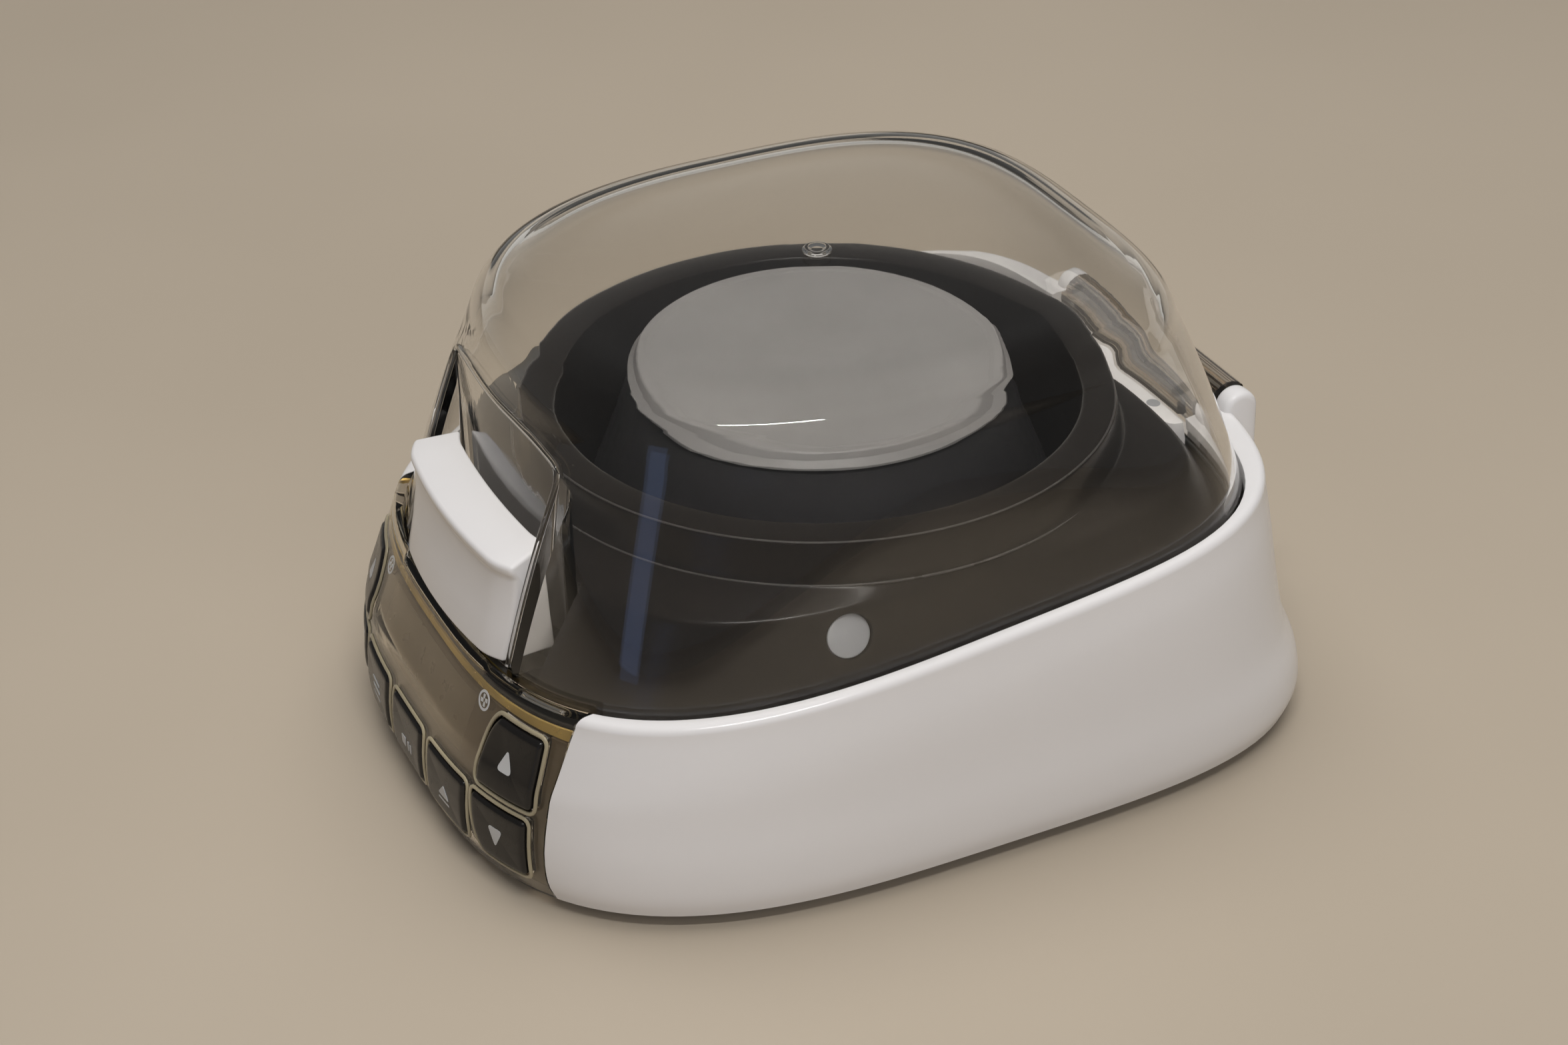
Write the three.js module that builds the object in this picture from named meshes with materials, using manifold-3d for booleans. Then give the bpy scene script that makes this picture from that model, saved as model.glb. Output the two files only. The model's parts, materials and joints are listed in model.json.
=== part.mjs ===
// Mini centrifuge with a clear hinged lid, a 12-place fixed-angle rotor and a seven-key front panel.
// Millimetres. +Z is up, -Y is the front (keys and latch), +Y is the hinge side.
import * as THREE from "three";
import { mergeVertices } from "three/addons/utils/BufferGeometryUtils.js";
import Module from "manifold-3d";

const wasm = await Module();
wasm.setup();

// ---- driving dimensions ----
const HALF_WIDTH = 90.5;
const FRONT_Y = -113.4;
const BACK_Y = 112.4;
const HOUSING_Z0 = 4;
const WALL = 2.6;
const COVER_WALL = 2.4;
const GAP = 0.4;
const AXIS_Y = -1; // the rotor's axis stands at (0, AXIS_Y)
const RIM_Z = 63; // the lid's parting plane at y = 0
const RIM_RISE = 0.11; // and how far it rises per mm towards the hinge
const LID = { side: 84, front: -100.8, back: 88 };
const SHOULDER = { side: 68.4, front: -79.8, back: 74, z: 120 };
const LID_TOP = 123;
const LID_WALL = 2.6;
const PANEL_HALF = 59.2;
const NOTCH_HALF = 33.4;
const NOTCH_FLOOR = 51.2;
const HINGE = { y: 97.6, z: 73, barrel: 5.2, ear: 4.9, ears: [33.6, 39.6], pin: 1.3 };
const RING = { r: 72.8, z: 87 };
const BOWL = { top: 62.5, bottom: 60.5, floor: 42 };
const ROTOR = { rim: 45.6, widest: 57, top: 90, bottom: 46, places: 12, hole: 5.6 };
const COVER = { r: 45.2, flange: 46.9, top: 94.6 };
const PLUG = { x: 74.3, y: -31, z: 66.8, lean: 17.5 };
const KEY_TRAVEL = 0.8;
const KEY_PROUD = 1;

const root = new THREE.Group();
root.name = "mini_centrifuge";

// ---- materials ----
const COLOURS = {
  white: [0xe6e3de, 0.35],
  deck: [0x35312d, 0.45],
  clear: [0xd9d2c8, 0.08],
  tinted: [0x8a7b66, 0.12],
  backing: [0x574d40, 0.4],
  keys: [0x1d1a17, 0.25],
  frosted: [0xa5a3a0, 0.5],
  rotor: [0x2d2c2d, 0.5],
  rubber: [0x1a1a1a, 0.9],
  steel: [0xb8bbbe, 0.3],
  board: [0x1f5a35, 0.6],
  black: [0x161616, 0.5],
  grey: [0x8f9194, 0.5],
  copper: [0xa5643a, 0.4],
};
const METALS = ["steel", "copper"];

function add(name, colour, geometry) {
  const [hex, roughness] = COLOURS[colour];
  const material = new THREE.MeshStandardMaterial({
    color: hex,
    roughness,
    metalness: METALS.includes(colour) ? 1 : 0,
  });
  if (colour === "clear") {
    material.transparent = true;
    material.opacity = 0.3;
    material.depthWrite = false;
  }
  const mesh = new THREE.Mesh(toGeometry(geometry), material);
  mesh.name = name;
  root.add(mesh);
}

// ---- solids ----
function toSolid(geometry) {
  const g = geometry.index ? geometry.toNonIndexed() : geometry.clone();
  g.deleteAttribute("normal");
  g.deleteAttribute("uv");
  const merged = mergeVertices(g, 1e-4);
  const mesh = new wasm.Mesh({
    numProp: 3,
    vertProperties: new Float32Array(merged.attributes.position.array),
    triVerts: new Uint32Array(merged.index.array),
  });
  return new wasm.Manifold(mesh);
}

function toGeometry(solid) {
  if (solid.isBufferGeometry) return solid;
  const mesh = solid.getMesh();
  const g = new THREE.BufferGeometry();
  g.setAttribute("position", new THREE.BufferAttribute(new Float32Array(mesh.vertProperties), 3));
  g.setIndex(Array.from(mesh.triVerts));
  const flat = g.toNonIndexed();
  flat.computeVertexNormals();
  return flat;
}

// Rows of equally many points joined into a skin. Its ends are closed by fans, or joined when looped.
function skin(rows, looped = false) {
  const n = rows[0].length;
  const points = rows.flat();
  const faces = [];
  const last = looped ? rows.length : rows.length - 1;
  for (let r = 0; r < last; r++) {
    const a = r * n;
    const b = ((r + 1) % rows.length) * n;
    for (let i = 0; i < n; i++) {
      const j = (i + 1) % n;
      faces.push([a + i, a + j, b + j], [a + i, b + j, b + i]);
    }
  }
  if (!looped) {
    const top = (rows.length - 1) * n;
    for (let i = 1; i < n - 1; i++) faces.push([0, i + 1, i], [top, top + i, top + i + 1]);
  }
  const position = [];
  for (const face of faces) for (const i of face) position.push(...points[i]);
  const g = new THREE.BufferGeometry();
  g.setAttribute("position", new THREE.Float32BufferAttribute(position, 3));
  const solid = toSolid(g);
  if (solid.volume() >= 0) return solid;
  const turned = [];
  for (const [i, j, k] of faces) turned.push(...points[i], ...points[k], ...points[j]);
  g.setAttribute("position", new THREE.Float32BufferAttribute(turned, 3));
  return toSolid(g);
}

function box(x0, x1, y0, y1, z0, z1) {
  const g = new THREE.BoxGeometry(x1 - x0, y1 - y0, z1 - z0);
  g.translate((x0 + x1) / 2, (y0 + y1) / 2, (z0 + z1) / 2);
  return toSolid(g);
}

// A straight round bar from z0 to z1, or lying along X or Y.
function rod(r, z0, z1, x = 0, y = 0, sides = 24, r2 = r) {
  const g = new THREE.CylinderGeometry(r2, r, z1 - z0, sides);
  g.rotateX(Math.PI / 2);
  g.translate(x, y, (z0 + z1) / 2);
  return toSolid(g);
}

function rodX(r, x0, x1, y, z, sides = 20) {
  const g = new THREE.CylinderGeometry(r, r, x1 - x0, sides);
  g.rotateZ(Math.PI / 2);
  g.translate((x0 + x1) / 2, y, z);
  return toSolid(g);
}

function rodY(r, y0, y1, x, z, sides = 20) {
  const g = new THREE.CylinderGeometry(r, r, y1 - y0, sides);
  g.translate(x, (y0 + y1) / 2, z);
  return toSolid(g);
}

function turned(profile, sides, y = AXIS_Y) {
  const points = profile.map(([r, z]) => new THREE.Vector2(r, z));
  const g = new THREE.LatheGeometry(points, sides);
  g.rotateX(Math.PI / 2);
  g.translate(0, y, 0);
  const solid = toSolid(g);
  if (solid.volume() >= 0) return solid;
  const back = new THREE.LatheGeometry(points.slice().reverse(), sides);
  back.rotateX(Math.PI / 2);
  back.translate(0, y, 0);
  return toSolid(back);
}

// ---- plan outlines: superellipse halves, front and back, that meet at (±side, centre) ----
const STEPS = 48;
function plan({ side, front, back, nf, nb, centre }, z) {
  const row = [];
  for (let i = 0; i < STEPS; i++) {
    const a = (2 * Math.PI * i) / STEPS;
    const c = Math.cos(a);
    const s = Math.sin(a);
    const n = s > 0 ? nb : nf;
    const reach = s > 0 ? back - centre : centre - front;
    const x = side * Math.sign(c) * Math.abs(c) ** (2 / n);
    const y = centre + reach * Math.sign(s) * Math.abs(s) ** (2 / n);
    row.push([x, y, typeof z === "function" ? z(y) : z]);
  }
  return row;
}

const onRim = (dz) => (y) => RIM_Z + RIM_RISE * y + dz;
const circle = (r, z) =>
  plan({ side: r, front: AXIS_Y - r, back: AXIS_Y + r, nf: 2, nb: 2, centre: AXIS_Y }, z);

// The housing's outline, drawn in from its widest by separate amounts at side, front and back.
function body(inSide, inFront, inBack, z, inset = 0) {
  const side = HALF_WIDTH - inSide - inset;
  const front = FRONT_Y + inFront + inset;
  const back = BACK_Y - inBack - inset;
  return plan({ side, front, back, nf: 3, nb: 3.9, centre: 0 }, z);
}

// The wall of the housing from its foot to just under its rolled top edge.
function wallRows(inset) {
  return [
    body(1.8, 1.8, 1.8, HOUSING_Z0, inset),
    body(0.6, 0.6, 0.6, 8, inset),
    body(0, 0, 1.6, 15, inset),
    body(0.4, 1.6, 7.6, 29, inset),
    body(1.1, 5, 14.2, onRim(-13), inset),
    body(2.2, 8.2, 15.6, onRim(-5), inset),
  ];
}

// The opening in the housing's top that the lid drops into.
function lidOpening(grow, z) {
  const { side, front, back } = LID;
  return plan(
    { side: side + grow, front: front - grow - 0.1, back: back + grow, nf: 2.9, nb: 4.5, centre: AXIS_Y },
    z,
  );
}

function housingShell(wall) {
  const inner = wallRows(wall);
  inner[5] = body(2.2, 8.2, 15.6, onRim(-5.6), wall);
  return skin(
    [
      ...wallRows(0),
      body(2.7, 9.6, 16.1, onRim(-1.6)),
      body(4.2, 11.8, 17.6, onRim(0)),
      lidOpening(0.6, onRim(0)),
      lidOpening(0.6, onRim(-3.4)),
      ...inner.reverse(),
    ],
    true,
  );
}

// A layer that follows the front panel between two depths below the housing's surface.
function panelLayer(depth0, depth1, zTop) {
  const outer = wallRows(depth0);
  const inner = wallRows(depth1);
  const tall = skin([...outer, ...inner.reverse()], true);
  const keep = box(-PANEL_HALF + 0.2, PANEL_HALF - 0.2, -130, -50, 7, zTop);
  return tall.intersect(keep);
}

// ---- keys ----
// Each is a prism along the panel's inward normal: its middle x, height range, half widths and turn.
const ROW = { low: [9.5, 24.5], high: [28.2, 45] };
const KEYS = [
  { name: "key_program", x: -24, z: ROW.low, half: 9.8, turn: 5 },
  { name: "key_start_stop", x: 0, z: ROW.low, half: 9.8, turn: 0 },
  { name: "key_open", x: 24, z: ROW.low, half: 9.8, turn: -5 },
  { name: "key_right_up", x: 46, z: ROW.high, half: 9.4, turn: -20, arc: 1 },
  { name: "key_right_down", x: 46, z: ROW.low, half: 9.4, turn: -20, arc: -1 },
  { name: "key_left_up", x: -46, z: ROW.high, half: 9.4, turn: 20, arc: 1 },
  { name: "key_left_down", x: -46, z: ROW.low, half: 9.4, turn: 20, arc: -1 },
];

function panelY(x, z) {
  const front = -FRONT_Y - (z < 29 ? (1.6 * Math.max(0, z - 15)) / 14 : 1.6 + ((z - 29) * 3.4) / 9);
  return -front * (1 - Math.abs(x / 90) ** 3) ** (1 / 3);
}

// The outline of a key's face, u across and z up. The paired keys have one long side bowed outwards.
function keyOutline(key, grow) {
  const [z0, z1] = key.z;
  const shape = new THREE.Shape();
  const r = 1.2;
  const u0 = -key.half - grow;
  const u1 = key.half + grow;
  const w0 = z0 - grow;
  const w1 = z1 + grow;
  if (!key.arc) {
    shape.moveTo(u0 + r, w0);
    shape.lineTo(u1 - r, w0);
    shape.quadraticCurveTo(u1, w0, u1, w0 + r);
    shape.lineTo(u1, w1 - r);
    shape.quadraticCurveTo(u1, w1, u1 - r, w1);
    shape.lineTo(u0 + r, w1);
    shape.quadraticCurveTo(u0, w1, u0, w1 - r);
    shape.lineTo(u0, w0 + r);
    shape.quadraticCurveTo(u0, w0, u0 + r, w0);
    return shape;
  }
  // bowed inwards-facing side: full width where the pair meets, narrower at its far end
  const up = key.arc > 0;
  const near = up ? w0 : w1;
  const far = up ? w1 : w0;
  const t = Math.sign(key.turn);
  const out = t < 0 ? u1 : u0;
  const inn = t < 0 ? u0 : u1;
  const step = Math.sign(far - near);
  shape.moveTo(out, near);
  shape.lineTo(out, far - step * r);
  shape.quadraticCurveTo(out, far, out + t * r, far);
  shape.lineTo(inn - t * 4.6, far);
  shape.quadraticCurveTo(inn - t * 0.6, far - step * 2.5, inn, near + step * 3);
  shape.lineTo(inn, near);
  shape.closePath();
  return shape;
}

// The key's outline pushed through the panel along its normal, from outside inwards.
function keyPrism(key, grow, length) {
  const g = new THREE.ExtrudeGeometry(keyOutline(key, grow), {
    depth: length,
    bevelEnabled: false,
    curveSegments: 4,
  });
  g.rotateX(Math.PI / 2); // outline now upright, pushed towards +Y after the flip
  g.scale(1, -1, 1);
  const flipped = mirrored(g);
  flipped.rotateZ(THREE.MathUtils.degToRad(-key.turn));
  const a = THREE.MathUtils.degToRad(key.turn);
  const y = panelY(key.x, (key.z[0] + key.z[1]) / 2);
  flipped.translate(key.x - Math.sin(a) * 8, y - Math.cos(a) * 8, 0);
  return toSolid(flipped);
}

// Turns each face round after a mirroring scale.
function mirrored(geometry) {
  const g = geometry.index ? geometry.toNonIndexed() : geometry;
  const p = g.attributes.position.array;
  for (let i = 0; i < p.length; i += 9) {
    for (let k = 0; k < 3; k++) {
      const keep = p[i + 3 + k];
      p[i + 3 + k] = p[i + 6 + k];
      p[i + 6 + k] = keep;
    }
  }
  return g;
}

// A box whose length runs along the key's inward normal, from d0 to d1 below the panel.
function alongKey(key, half, z0, z1, d0, d1) {
  const a = THREE.MathUtils.degToRad(key.turn);
  const y = panelY(key.x, (key.z[0] + key.z[1]) / 2);
  const g = new THREE.BoxGeometry(2 * half, d1 - d0, z1 - z0);
  g.translate(0, (d0 + d1) / 2, (z0 + z1) / 2);
  g.rotateZ(-a);
  g.translate(key.x, y, 0);
  return toSolid(g);
}

const BOARD_Y = -94;
const SWITCH_FRONT = BOARD_Y - 4.2;

function keysAndSwitches() {
  const cap = skin([...wallRows(-KEY_PROUD), ...wallRows(2).reverse()], true);
  for (const key of KEYS) {
    const middle = (key.z[0] + key.z[1]) / 2;
    const a = THREE.MathUtils.degToRad(key.turn);
    const reach = (SWITCH_FRONT - KEY_TRAVEL - 0.9 - panelY(key.x, middle)) / Math.cos(a);
    const stem = alongKey(key, 2.2, middle - 2.2, middle + 2.2, 1.5, reach);
    add(key.name, "keys", cap.intersect(keyPrism(key, 0, 24)).add(stem));
    const x = key.x + Math.tan(a) * (SWITCH_FRONT - panelY(key.x, middle));
    add(
      key.name.replace("key", "switch"),
      "black",
      box(x - 3, x + 3, SWITCH_FRONT, BOARD_Y - GAP / 2, middle - 3, middle + 3),
    );
  }
}

function frontPanel() {
  const windows = (solid, grow) =>
    KEYS.reduce((made, key) => made.subtract(keyPrism(key, grow, 24)), solid);
  const region = box(-PANEL_HALF + 0.2, PANEL_HALF - 0.2, -130, -50, 0, 90);
  add("panel_cover", "tinted", windows(housingShell(COVER_WALL).intersect(region), GAP));
  const screen = box(-27, 27, -130, -80, 28.5, 43);
  const hole = box(-27.3, 27.3, -130, -80, 28.2, 43.3);
  add("panel_backing", "backing", windows(panelLayer(2.9, 4.5, 44.6).subtract(hole), GAP));
  add("display_window", "black", panelLayer(2.9, 4.5, 50).intersect(screen));
  add("display_module", "grey", box(-24, 24, -100.6, -97, 29.5, 42));
  add("control_board", "board", box(-50, 50, BOARD_Y, BOARD_Y + 1.6, 9, 41.5));
  keysAndSwitches();
}

// ---- housing ----
// The post under a hinge ear, which leans out until it meets the back wall.
function earPost(x0, x1) {
  const back = HINGE.y + HINGE.ear;
  const side = new THREE.Shape();
  side.moveTo(back - 9.8, HINGE.z);
  side.lineTo(back - 9.8, 58);
  side.lineTo(99.6, 36);
  side.lineTo(101.4, 30);
  side.lineTo(back + 1, 34);
  side.lineTo(back + 0.3, 62);
  side.lineTo(back, HINGE.z);
  side.closePath();
  const g = new THREE.ExtrudeGeometry(side, { depth: x1 - x0, bevelEnabled: false });
  g.rotateX(Math.PI / 2);
  g.rotateZ(Math.PI / 2);
  g.translate(x0, 0, 0);
  return toSolid(g);
}

function sideHousing() {
  const outside = skin([
    ...wallRows(0),
    body(2.7, 9.6, 16.1, onRim(-1.6)),
    body(4.2, 11.8, 17.6, onRim(0)),
  ]);
  const cut = box(-PANEL_HALF - 0.2, PANEL_HALF + 0.2, -130, -50, 0, 90);
  const behindLid = box(-40, 40, 89, 112, 63, 90).intersect(outside);
  let made = housingShell(WALL).subtract(cut).add(behindLid);
  for (const s of [-1, 1]) {
    const [x0, x1] = HINGE.ears.map((x) => s * x).sort((a, b) => a - b);
    made = made.add(rodX(HINGE.ear, x0, x1, HINGE.y, HINGE.z, 28)).add(earPost(x0, x1));
    for (const y of [-40, 40]) made = made.add(rod(4.6, 7.2, 18, s * 82.2, y, 16));
  }
  made = made.subtract(box(-33.4, 33.4, 86, 125, 66, 95));
  made = made.subtract(rodX(HINGE.pin + 0.3, -37.4, 37.4, HINGE.y, HINGE.z));
  // upright pad that the inlet and the switch sit on
  made = made.add(box(-50, 26, 101.2, 112.4, 10, 32));
  for (const s of [-1, 1])
    for (const y of [-40, 40]) made = made.subtract(rod(1.8, 0, 16, s * 82.2, y, 12));
  for (const x of [-35, 12]) made = made.subtract(box(x - 9.4, x + 9.4, 98, 125, 13.6, 28.4));
  add("side_housing", "white", made);
  add("hinge_pin", "steel", rodX(HINGE.pin, -37, 37, HINGE.y, HINGE.z, 16));
}

function underside() {
  let plate = skin([
    body(1.8, 1.8, 1.8, HOUSING_Z0, WALL + 0.6),
    body(1.8, 1.8, 1.8, HOUSING_Z0 + 2.4, WALL + 0.6),
  ]);
  for (const [x, y] of corners(30, 30)) plate = plate.add(rod(5, 5, 20, x, y + AXIS_Y, 16));
  for (const y of [-78, -70, 70, 78]) plate = plate.subtract(box(-22, 22, y - 1.5, y + 1.5, 0, 9));
  for (const [x, y] of corners(82.2, 40)) plate = plate.subtract(rod(1.9, 0, 9, x, y, 12));
  for (const [x, y] of corners(56, 72)) plate = plate.subtract(rod(2.9, 0, 9, x, y, 12));
  add("base_plate", "black", plate);
  let i = 0;
  for (const [x, y] of corners(56, 72)) {
    i += 1;
    add(`foot_${i}`, "rubber", rod(8, 0, 3.7, x, y, 24, 9).add(rod(2.5, 3, 9, x, y, 12)));
  }
  i = 0;
  for (const [x, y] of corners(82.2, 40)) {
    i += 1;
    add(`base_screw_${i}`, "steel", rod(3, 2.2, 3.7, x, y, 16).add(rod(1.5, 3, 14, x, y, 12)));
  }
}

function corners(dx, dy) {
  return [
    [-dx, -dy],
    [dx, -dy],
    [-dx, dy],
    [dx, dy],
  ];
}

// ---- chamber deck ----
// The bowed line at the back of the lid's latch recess, moved back by grow.
function recessCutter(grow, z0) {
  const half = NOTCH_HALF + grow;
  const shape = new THREE.Shape();
  shape.moveTo(-half, -130);
  shape.lineTo(half, -130);
  for (let i = 0; i <= 8; i++) {
    const x = half - (2 * half * i) / 8;
    shape.lineTo(x, -85.2 + 3.4 * (x / half) ** 2 + grow);
  }
  shape.closePath();
  const g = new THREE.ExtrudeGeometry(shape, { depth: 150 - z0, bevelEnabled: false });
  g.translate(0, 0, z0);
  return toSolid(g);
}

function deck() {
  const flange = (dz) =>
    plan({ side: 84.2, front: -101.1, back: 88.2, nf: 2.9, nb: 4.5, centre: AXIS_Y }, onRim(dz));
  const skirtFoot = plan(
    { side: 80, front: -96.6, back: 84, nf: 2.9, nb: 4.5, centre: AXIS_Y },
    onRim(-6.2),
  );
  const shelf = (inset, dz) =>
    plan(
      { side: 75.3 - inset, front: -83 + inset, back: 76.5 - inset, nf: 2.9, nb: 4.2, centre: AXIS_Y },
      (y) => 74.5 + 0.03 * y + dz,
    );
  const upper = [
    flange(-8.4),
    flange(-6.2),
    skirtFoot,
    shelf(0.9, -1),
    shelf(2, 0),
    circle(74.6, 77),
    circle(73.4, RING.z - 1),
    circle(72.2, RING.z),
    circle(64.5, RING.z + 0.2),
    circle(BOWL.top, RING.z - 1),
  ];
  const lower = [
    circle(BOWL.bottom, 46.5),
    circle(57.5, BOWL.floor + 0.5),
    circle(10.5, BOWL.floor),
    circle(10.5, BOWL.floor - 2.2),
    circle(58, BOWL.floor - 1.8),
    circle(BOWL.bottom + 2.3, 45.5),
    circle(BOWL.top + 2.2, 84.2),
    circle(70.8, 84.6),
    circle(72.4, 75.2),
    shelf(4.2, -2.4),
    shelf(3.1, -3),
    plan({ side: 77.8, front: -94.2, back: 81.8, nf: 2.9, nb: 4.5, centre: AXIS_Y }, onRim(-8.4)),
  ];
  const filled = skin(upper);
  let made = skin([...upper, ...lower], true);
  const outer = recessCutter(5.2, 45.4);
  const inner = recessCutter(3, 47.6);
  made = made.subtract(inner).add(filled.intersect(outer).subtract(inner));
  made = made.subtract(box(-38.6, 38.6, 76.6, 100, 66.9, 100));
  made = made.subtract(box(-6.5, 6.5, -93, -85.5, 30, 60));
  made = made.subtract(plugBar(5.6, -12, 12));
  add("chamber_deck", "deck", made);
  add("deck_plug", "grey", plugBar(5.25, -2, 0.7));
  add("hinge_cover", "white", hingeCover());
  add("rim_gasket", "rubber", gasket());
  add("shaft_boot", "rubber", turned(ring(3.7, 10.1, BOWL.floor - 2, BOWL.floor + 0.4), 32));
}

// A round bar square to the deck's skirt at its plug, from d0 to d1 along the outward normal.
function plugBar(r, d0, d1) {
  const g = new THREE.CylinderGeometry(r, r, d1 - d0, 28);
  g.translate(0, (d0 + d1) / 2, 0);
  g.rotateZ(-Math.PI / 2);
  g.rotateY(THREE.MathUtils.degToRad(-PLUG.lean));
  g.translate(PLUG.x, PLUG.y, PLUG.z);
  return toSolid(g);
}

function hingeCover() {
  const block = box(-38, 38, 77, 95, 67.3, 74.4);
  const within = skin([
    plan({ side: 80, front: -96.6, back: 83.6, nf: 2.9, nb: 4.5, centre: AXIS_Y }, 60),
    plan({ side: 80, front: -96.6, back: 83.6, nf: 2.9, nb: 4.5, centre: AXIS_Y }, 69.5),
    plan({ side: 79, front: -96, back: 81.8, nf: 2.9, nb: 4.5, centre: AXIS_Y }, 80),
  ]);
  return block.intersect(within);
}

function gasket() {
  const row = (inset, dz) =>
    plan(
      { side: 83.2 - inset, front: -100 + inset, back: 87.2 - inset, nf: 2.9, nb: 4.5, centre: AXIS_Y },
      onRim(dz),
    );
  return skin([row(0, -5.8), row(0, -4.8), row(1.8, -4.8), row(1.8, -5.8)], true);
}

const ring = (r0, r1, z0, z1) => [
  [r0, z0],
  [r1, z0],
  [r1, z1],
  [r0, z1],
  [r0, z0],
];

// ---- lid ----
// The lid's wall between its lip (t = 0) and its shoulder (t = 1).
function lidRow(t, inset) {
  const swell = 1.1 * Math.sin(Math.PI * t);
  const mix = (a, b) => a + (b - a) * t;
  const side = mix(LID.side, SHOULDER.side) + swell - inset;
  const front = mix(LID.front, SHOULDER.front) - swell + inset;
  const back = mix(LID.back, SHOULDER.back) + swell - inset;
  const z = (y) => mix(RIM_Z + RIM_RISE * y, SHOULDER.z - inset * 0.9);
  return plan({ side, front, back, nf: mix(2.9, 2.4), nb: mix(4.5, 3.2), centre: AXIS_Y }, z);
}

function roofRow(share, z) {
  return plan(
    {
      side: SHOULDER.side * share,
      front: SHOULDER.front * share,
      back: SHOULDER.back * share,
      nf: 2.4,
      nb: 3.2,
      centre: AXIS_Y,
    },
    z,
  );
}

function lidForm(inset) {
  const low = inset ? -12 : -4.3;
  const lip = (grow, dz) =>
    plan(
      { side: LID.side + grow, front: LID.front - grow, back: LID.back + grow, nf: 2.9, nb: 4.5, centre: AXIS_Y },
      onRim(dz),
    );
  const sink = inset * 0.96;
  return skin([
    lip(-0.7 - inset, low),
    lip(-inset, -0.4),
    ...[0.2, 0.4, 0.6, 0.8, 0.93].map((t) => lidRow(t, inset)),
    roofRow(0.985 - inset / 90, SHOULDER.z - 1.2 - sink),
    roofRow(0.94 - inset / 90, SHOULDER.z + 0.4 - sink),
    roofRow(0.72, SHOULDER.z + 1.7 - sink),
    roofRow(0.4, SHOULDER.z + 2.7 - sink),
    roofRow(0.06, LID_TOP - sink),
  ]);
}

function lid() {
  const outer = lidForm(0).subtract(recessCutter(0, NOTCH_FLOOR));
  const inner = lidForm(LID_WALL).subtract(recessCutter(2.3, NOTCH_FLOOR - 2.3));
  let made = outer.subtract(inner);
  made = made.add(rodX(HINGE.barrel, -33.1, 33.1, HINGE.y, HINGE.z, 28));
  made = made.add(box(-29, 29, 86.2, HINGE.y, HINGE.z - 1.4, HINGE.z + 2.4));
  made = made.subtract(rodX(HINGE.pin + 0.3, -40, 40, HINGE.y, HINGE.z, 16));
  made = made.add(turned([[0, 121.5], [3.6, 121.5], [3.6, 123.6], [2.6, 124], [0, 124]], 20));
  add("lid_dome", "clear", made);
}

// The white block in the lid's front recess: bowed face, sloping top, and ends that lean in.
function lidHandle() {
  const rows = [];
  for (let i = -6; i <= 6; i++) {
    const s = i / 6;
    const bow = 3.2 * (1 - s * s);
    rows.push([
      [s * 31, -100.4 - bow, 53.2],
      [s * 32.2, -98.4 - bow, 68],
      [s * 32.6, -96.8 - bow, 78.2],
      [s * 32.2, -95.8 - bow, 79],
      [s * 28.4, -85.8 - 0.55 * bow, 81],
      [s * 28.4, -85.2 - 0.55 * bow, 80.4],
      [s * 29.6, -85.2 - 0.55 * bow, 53.2],
    ]);
  }
  add("lid_handle", "white", skin(rows));
  const plate = box(-6, 6, -92.4, -86, 46.9, 48.5).add(box(-5, 5, -90.4, -88, 36, 47.4));
  add("latch_hook", "steel", plate.add(box(-5, 5, -90.4, -86.2, 36, 38.4)));
}

// ---- latch below the deck ----
function latch() {
  const coil = box(-9, 9, -80.4, -67.6, 32.4, 44.4).subtract(rodY(2.9, -90, -66, 0, 40, 16));
  add("latch_solenoid", "copper", coil);
  const bolt = rodY(2.5, -84, -68.4, 0, 40, 16).add(box(-3.6, 3.6, -85.7, -82.6, 38.8, 41.2));
  add("latch_bolt", "steel", bolt);
}

// ---- drive ----
function drive() {
  const y = AXIS_Y;
  const can = rod(25, 8.6, 33.6, 0, y, 32)
    .subtract(rod(22, 11, 31.2, 0, y, 32))
    .subtract(rod(8.3, 5, 40, 0, y, 24));
  add("motor_can", "steel", can);
  add("motor_stator", "copper", turned(ring(18.6, 21.6, 13, 29), 32));
  add("motor_magnet", "grey", turned(ring(3.3, 18, 13.4, 28.6), 32));
  add("bearing_lower", "steel", turned(ring(3.3, 8, 8.8, 11), 24));
  add("bearing_upper", "steel", turned(ring(3.3, 8, 31.2, 33.4), 24));
  add("motor_shaft", "steel", rod(3, 8.8, 72, 0, y, 24));
  let plate = box(-37, 37, y - 37, y + 37, 34, 36).subtract(rod(8.3, 30, 40, 0, y, 24));
  for (const [x, dy] of corners(30, 30)) plate = plate.subtract(rod(2.4, 30, 40, x, y + dy, 12));
  add("motor_plate", "steel", plate);
  let i = 0;
  for (const [x, dy] of corners(30, 30)) {
    i += 1;
    add(`damper_${i}`, "rubber", rod(5.4, 20.3, 33.7, x, y + dy, 16).add(rod(2.1, 33, 37.6, x, y + dy, 12)));
  }
}

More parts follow.
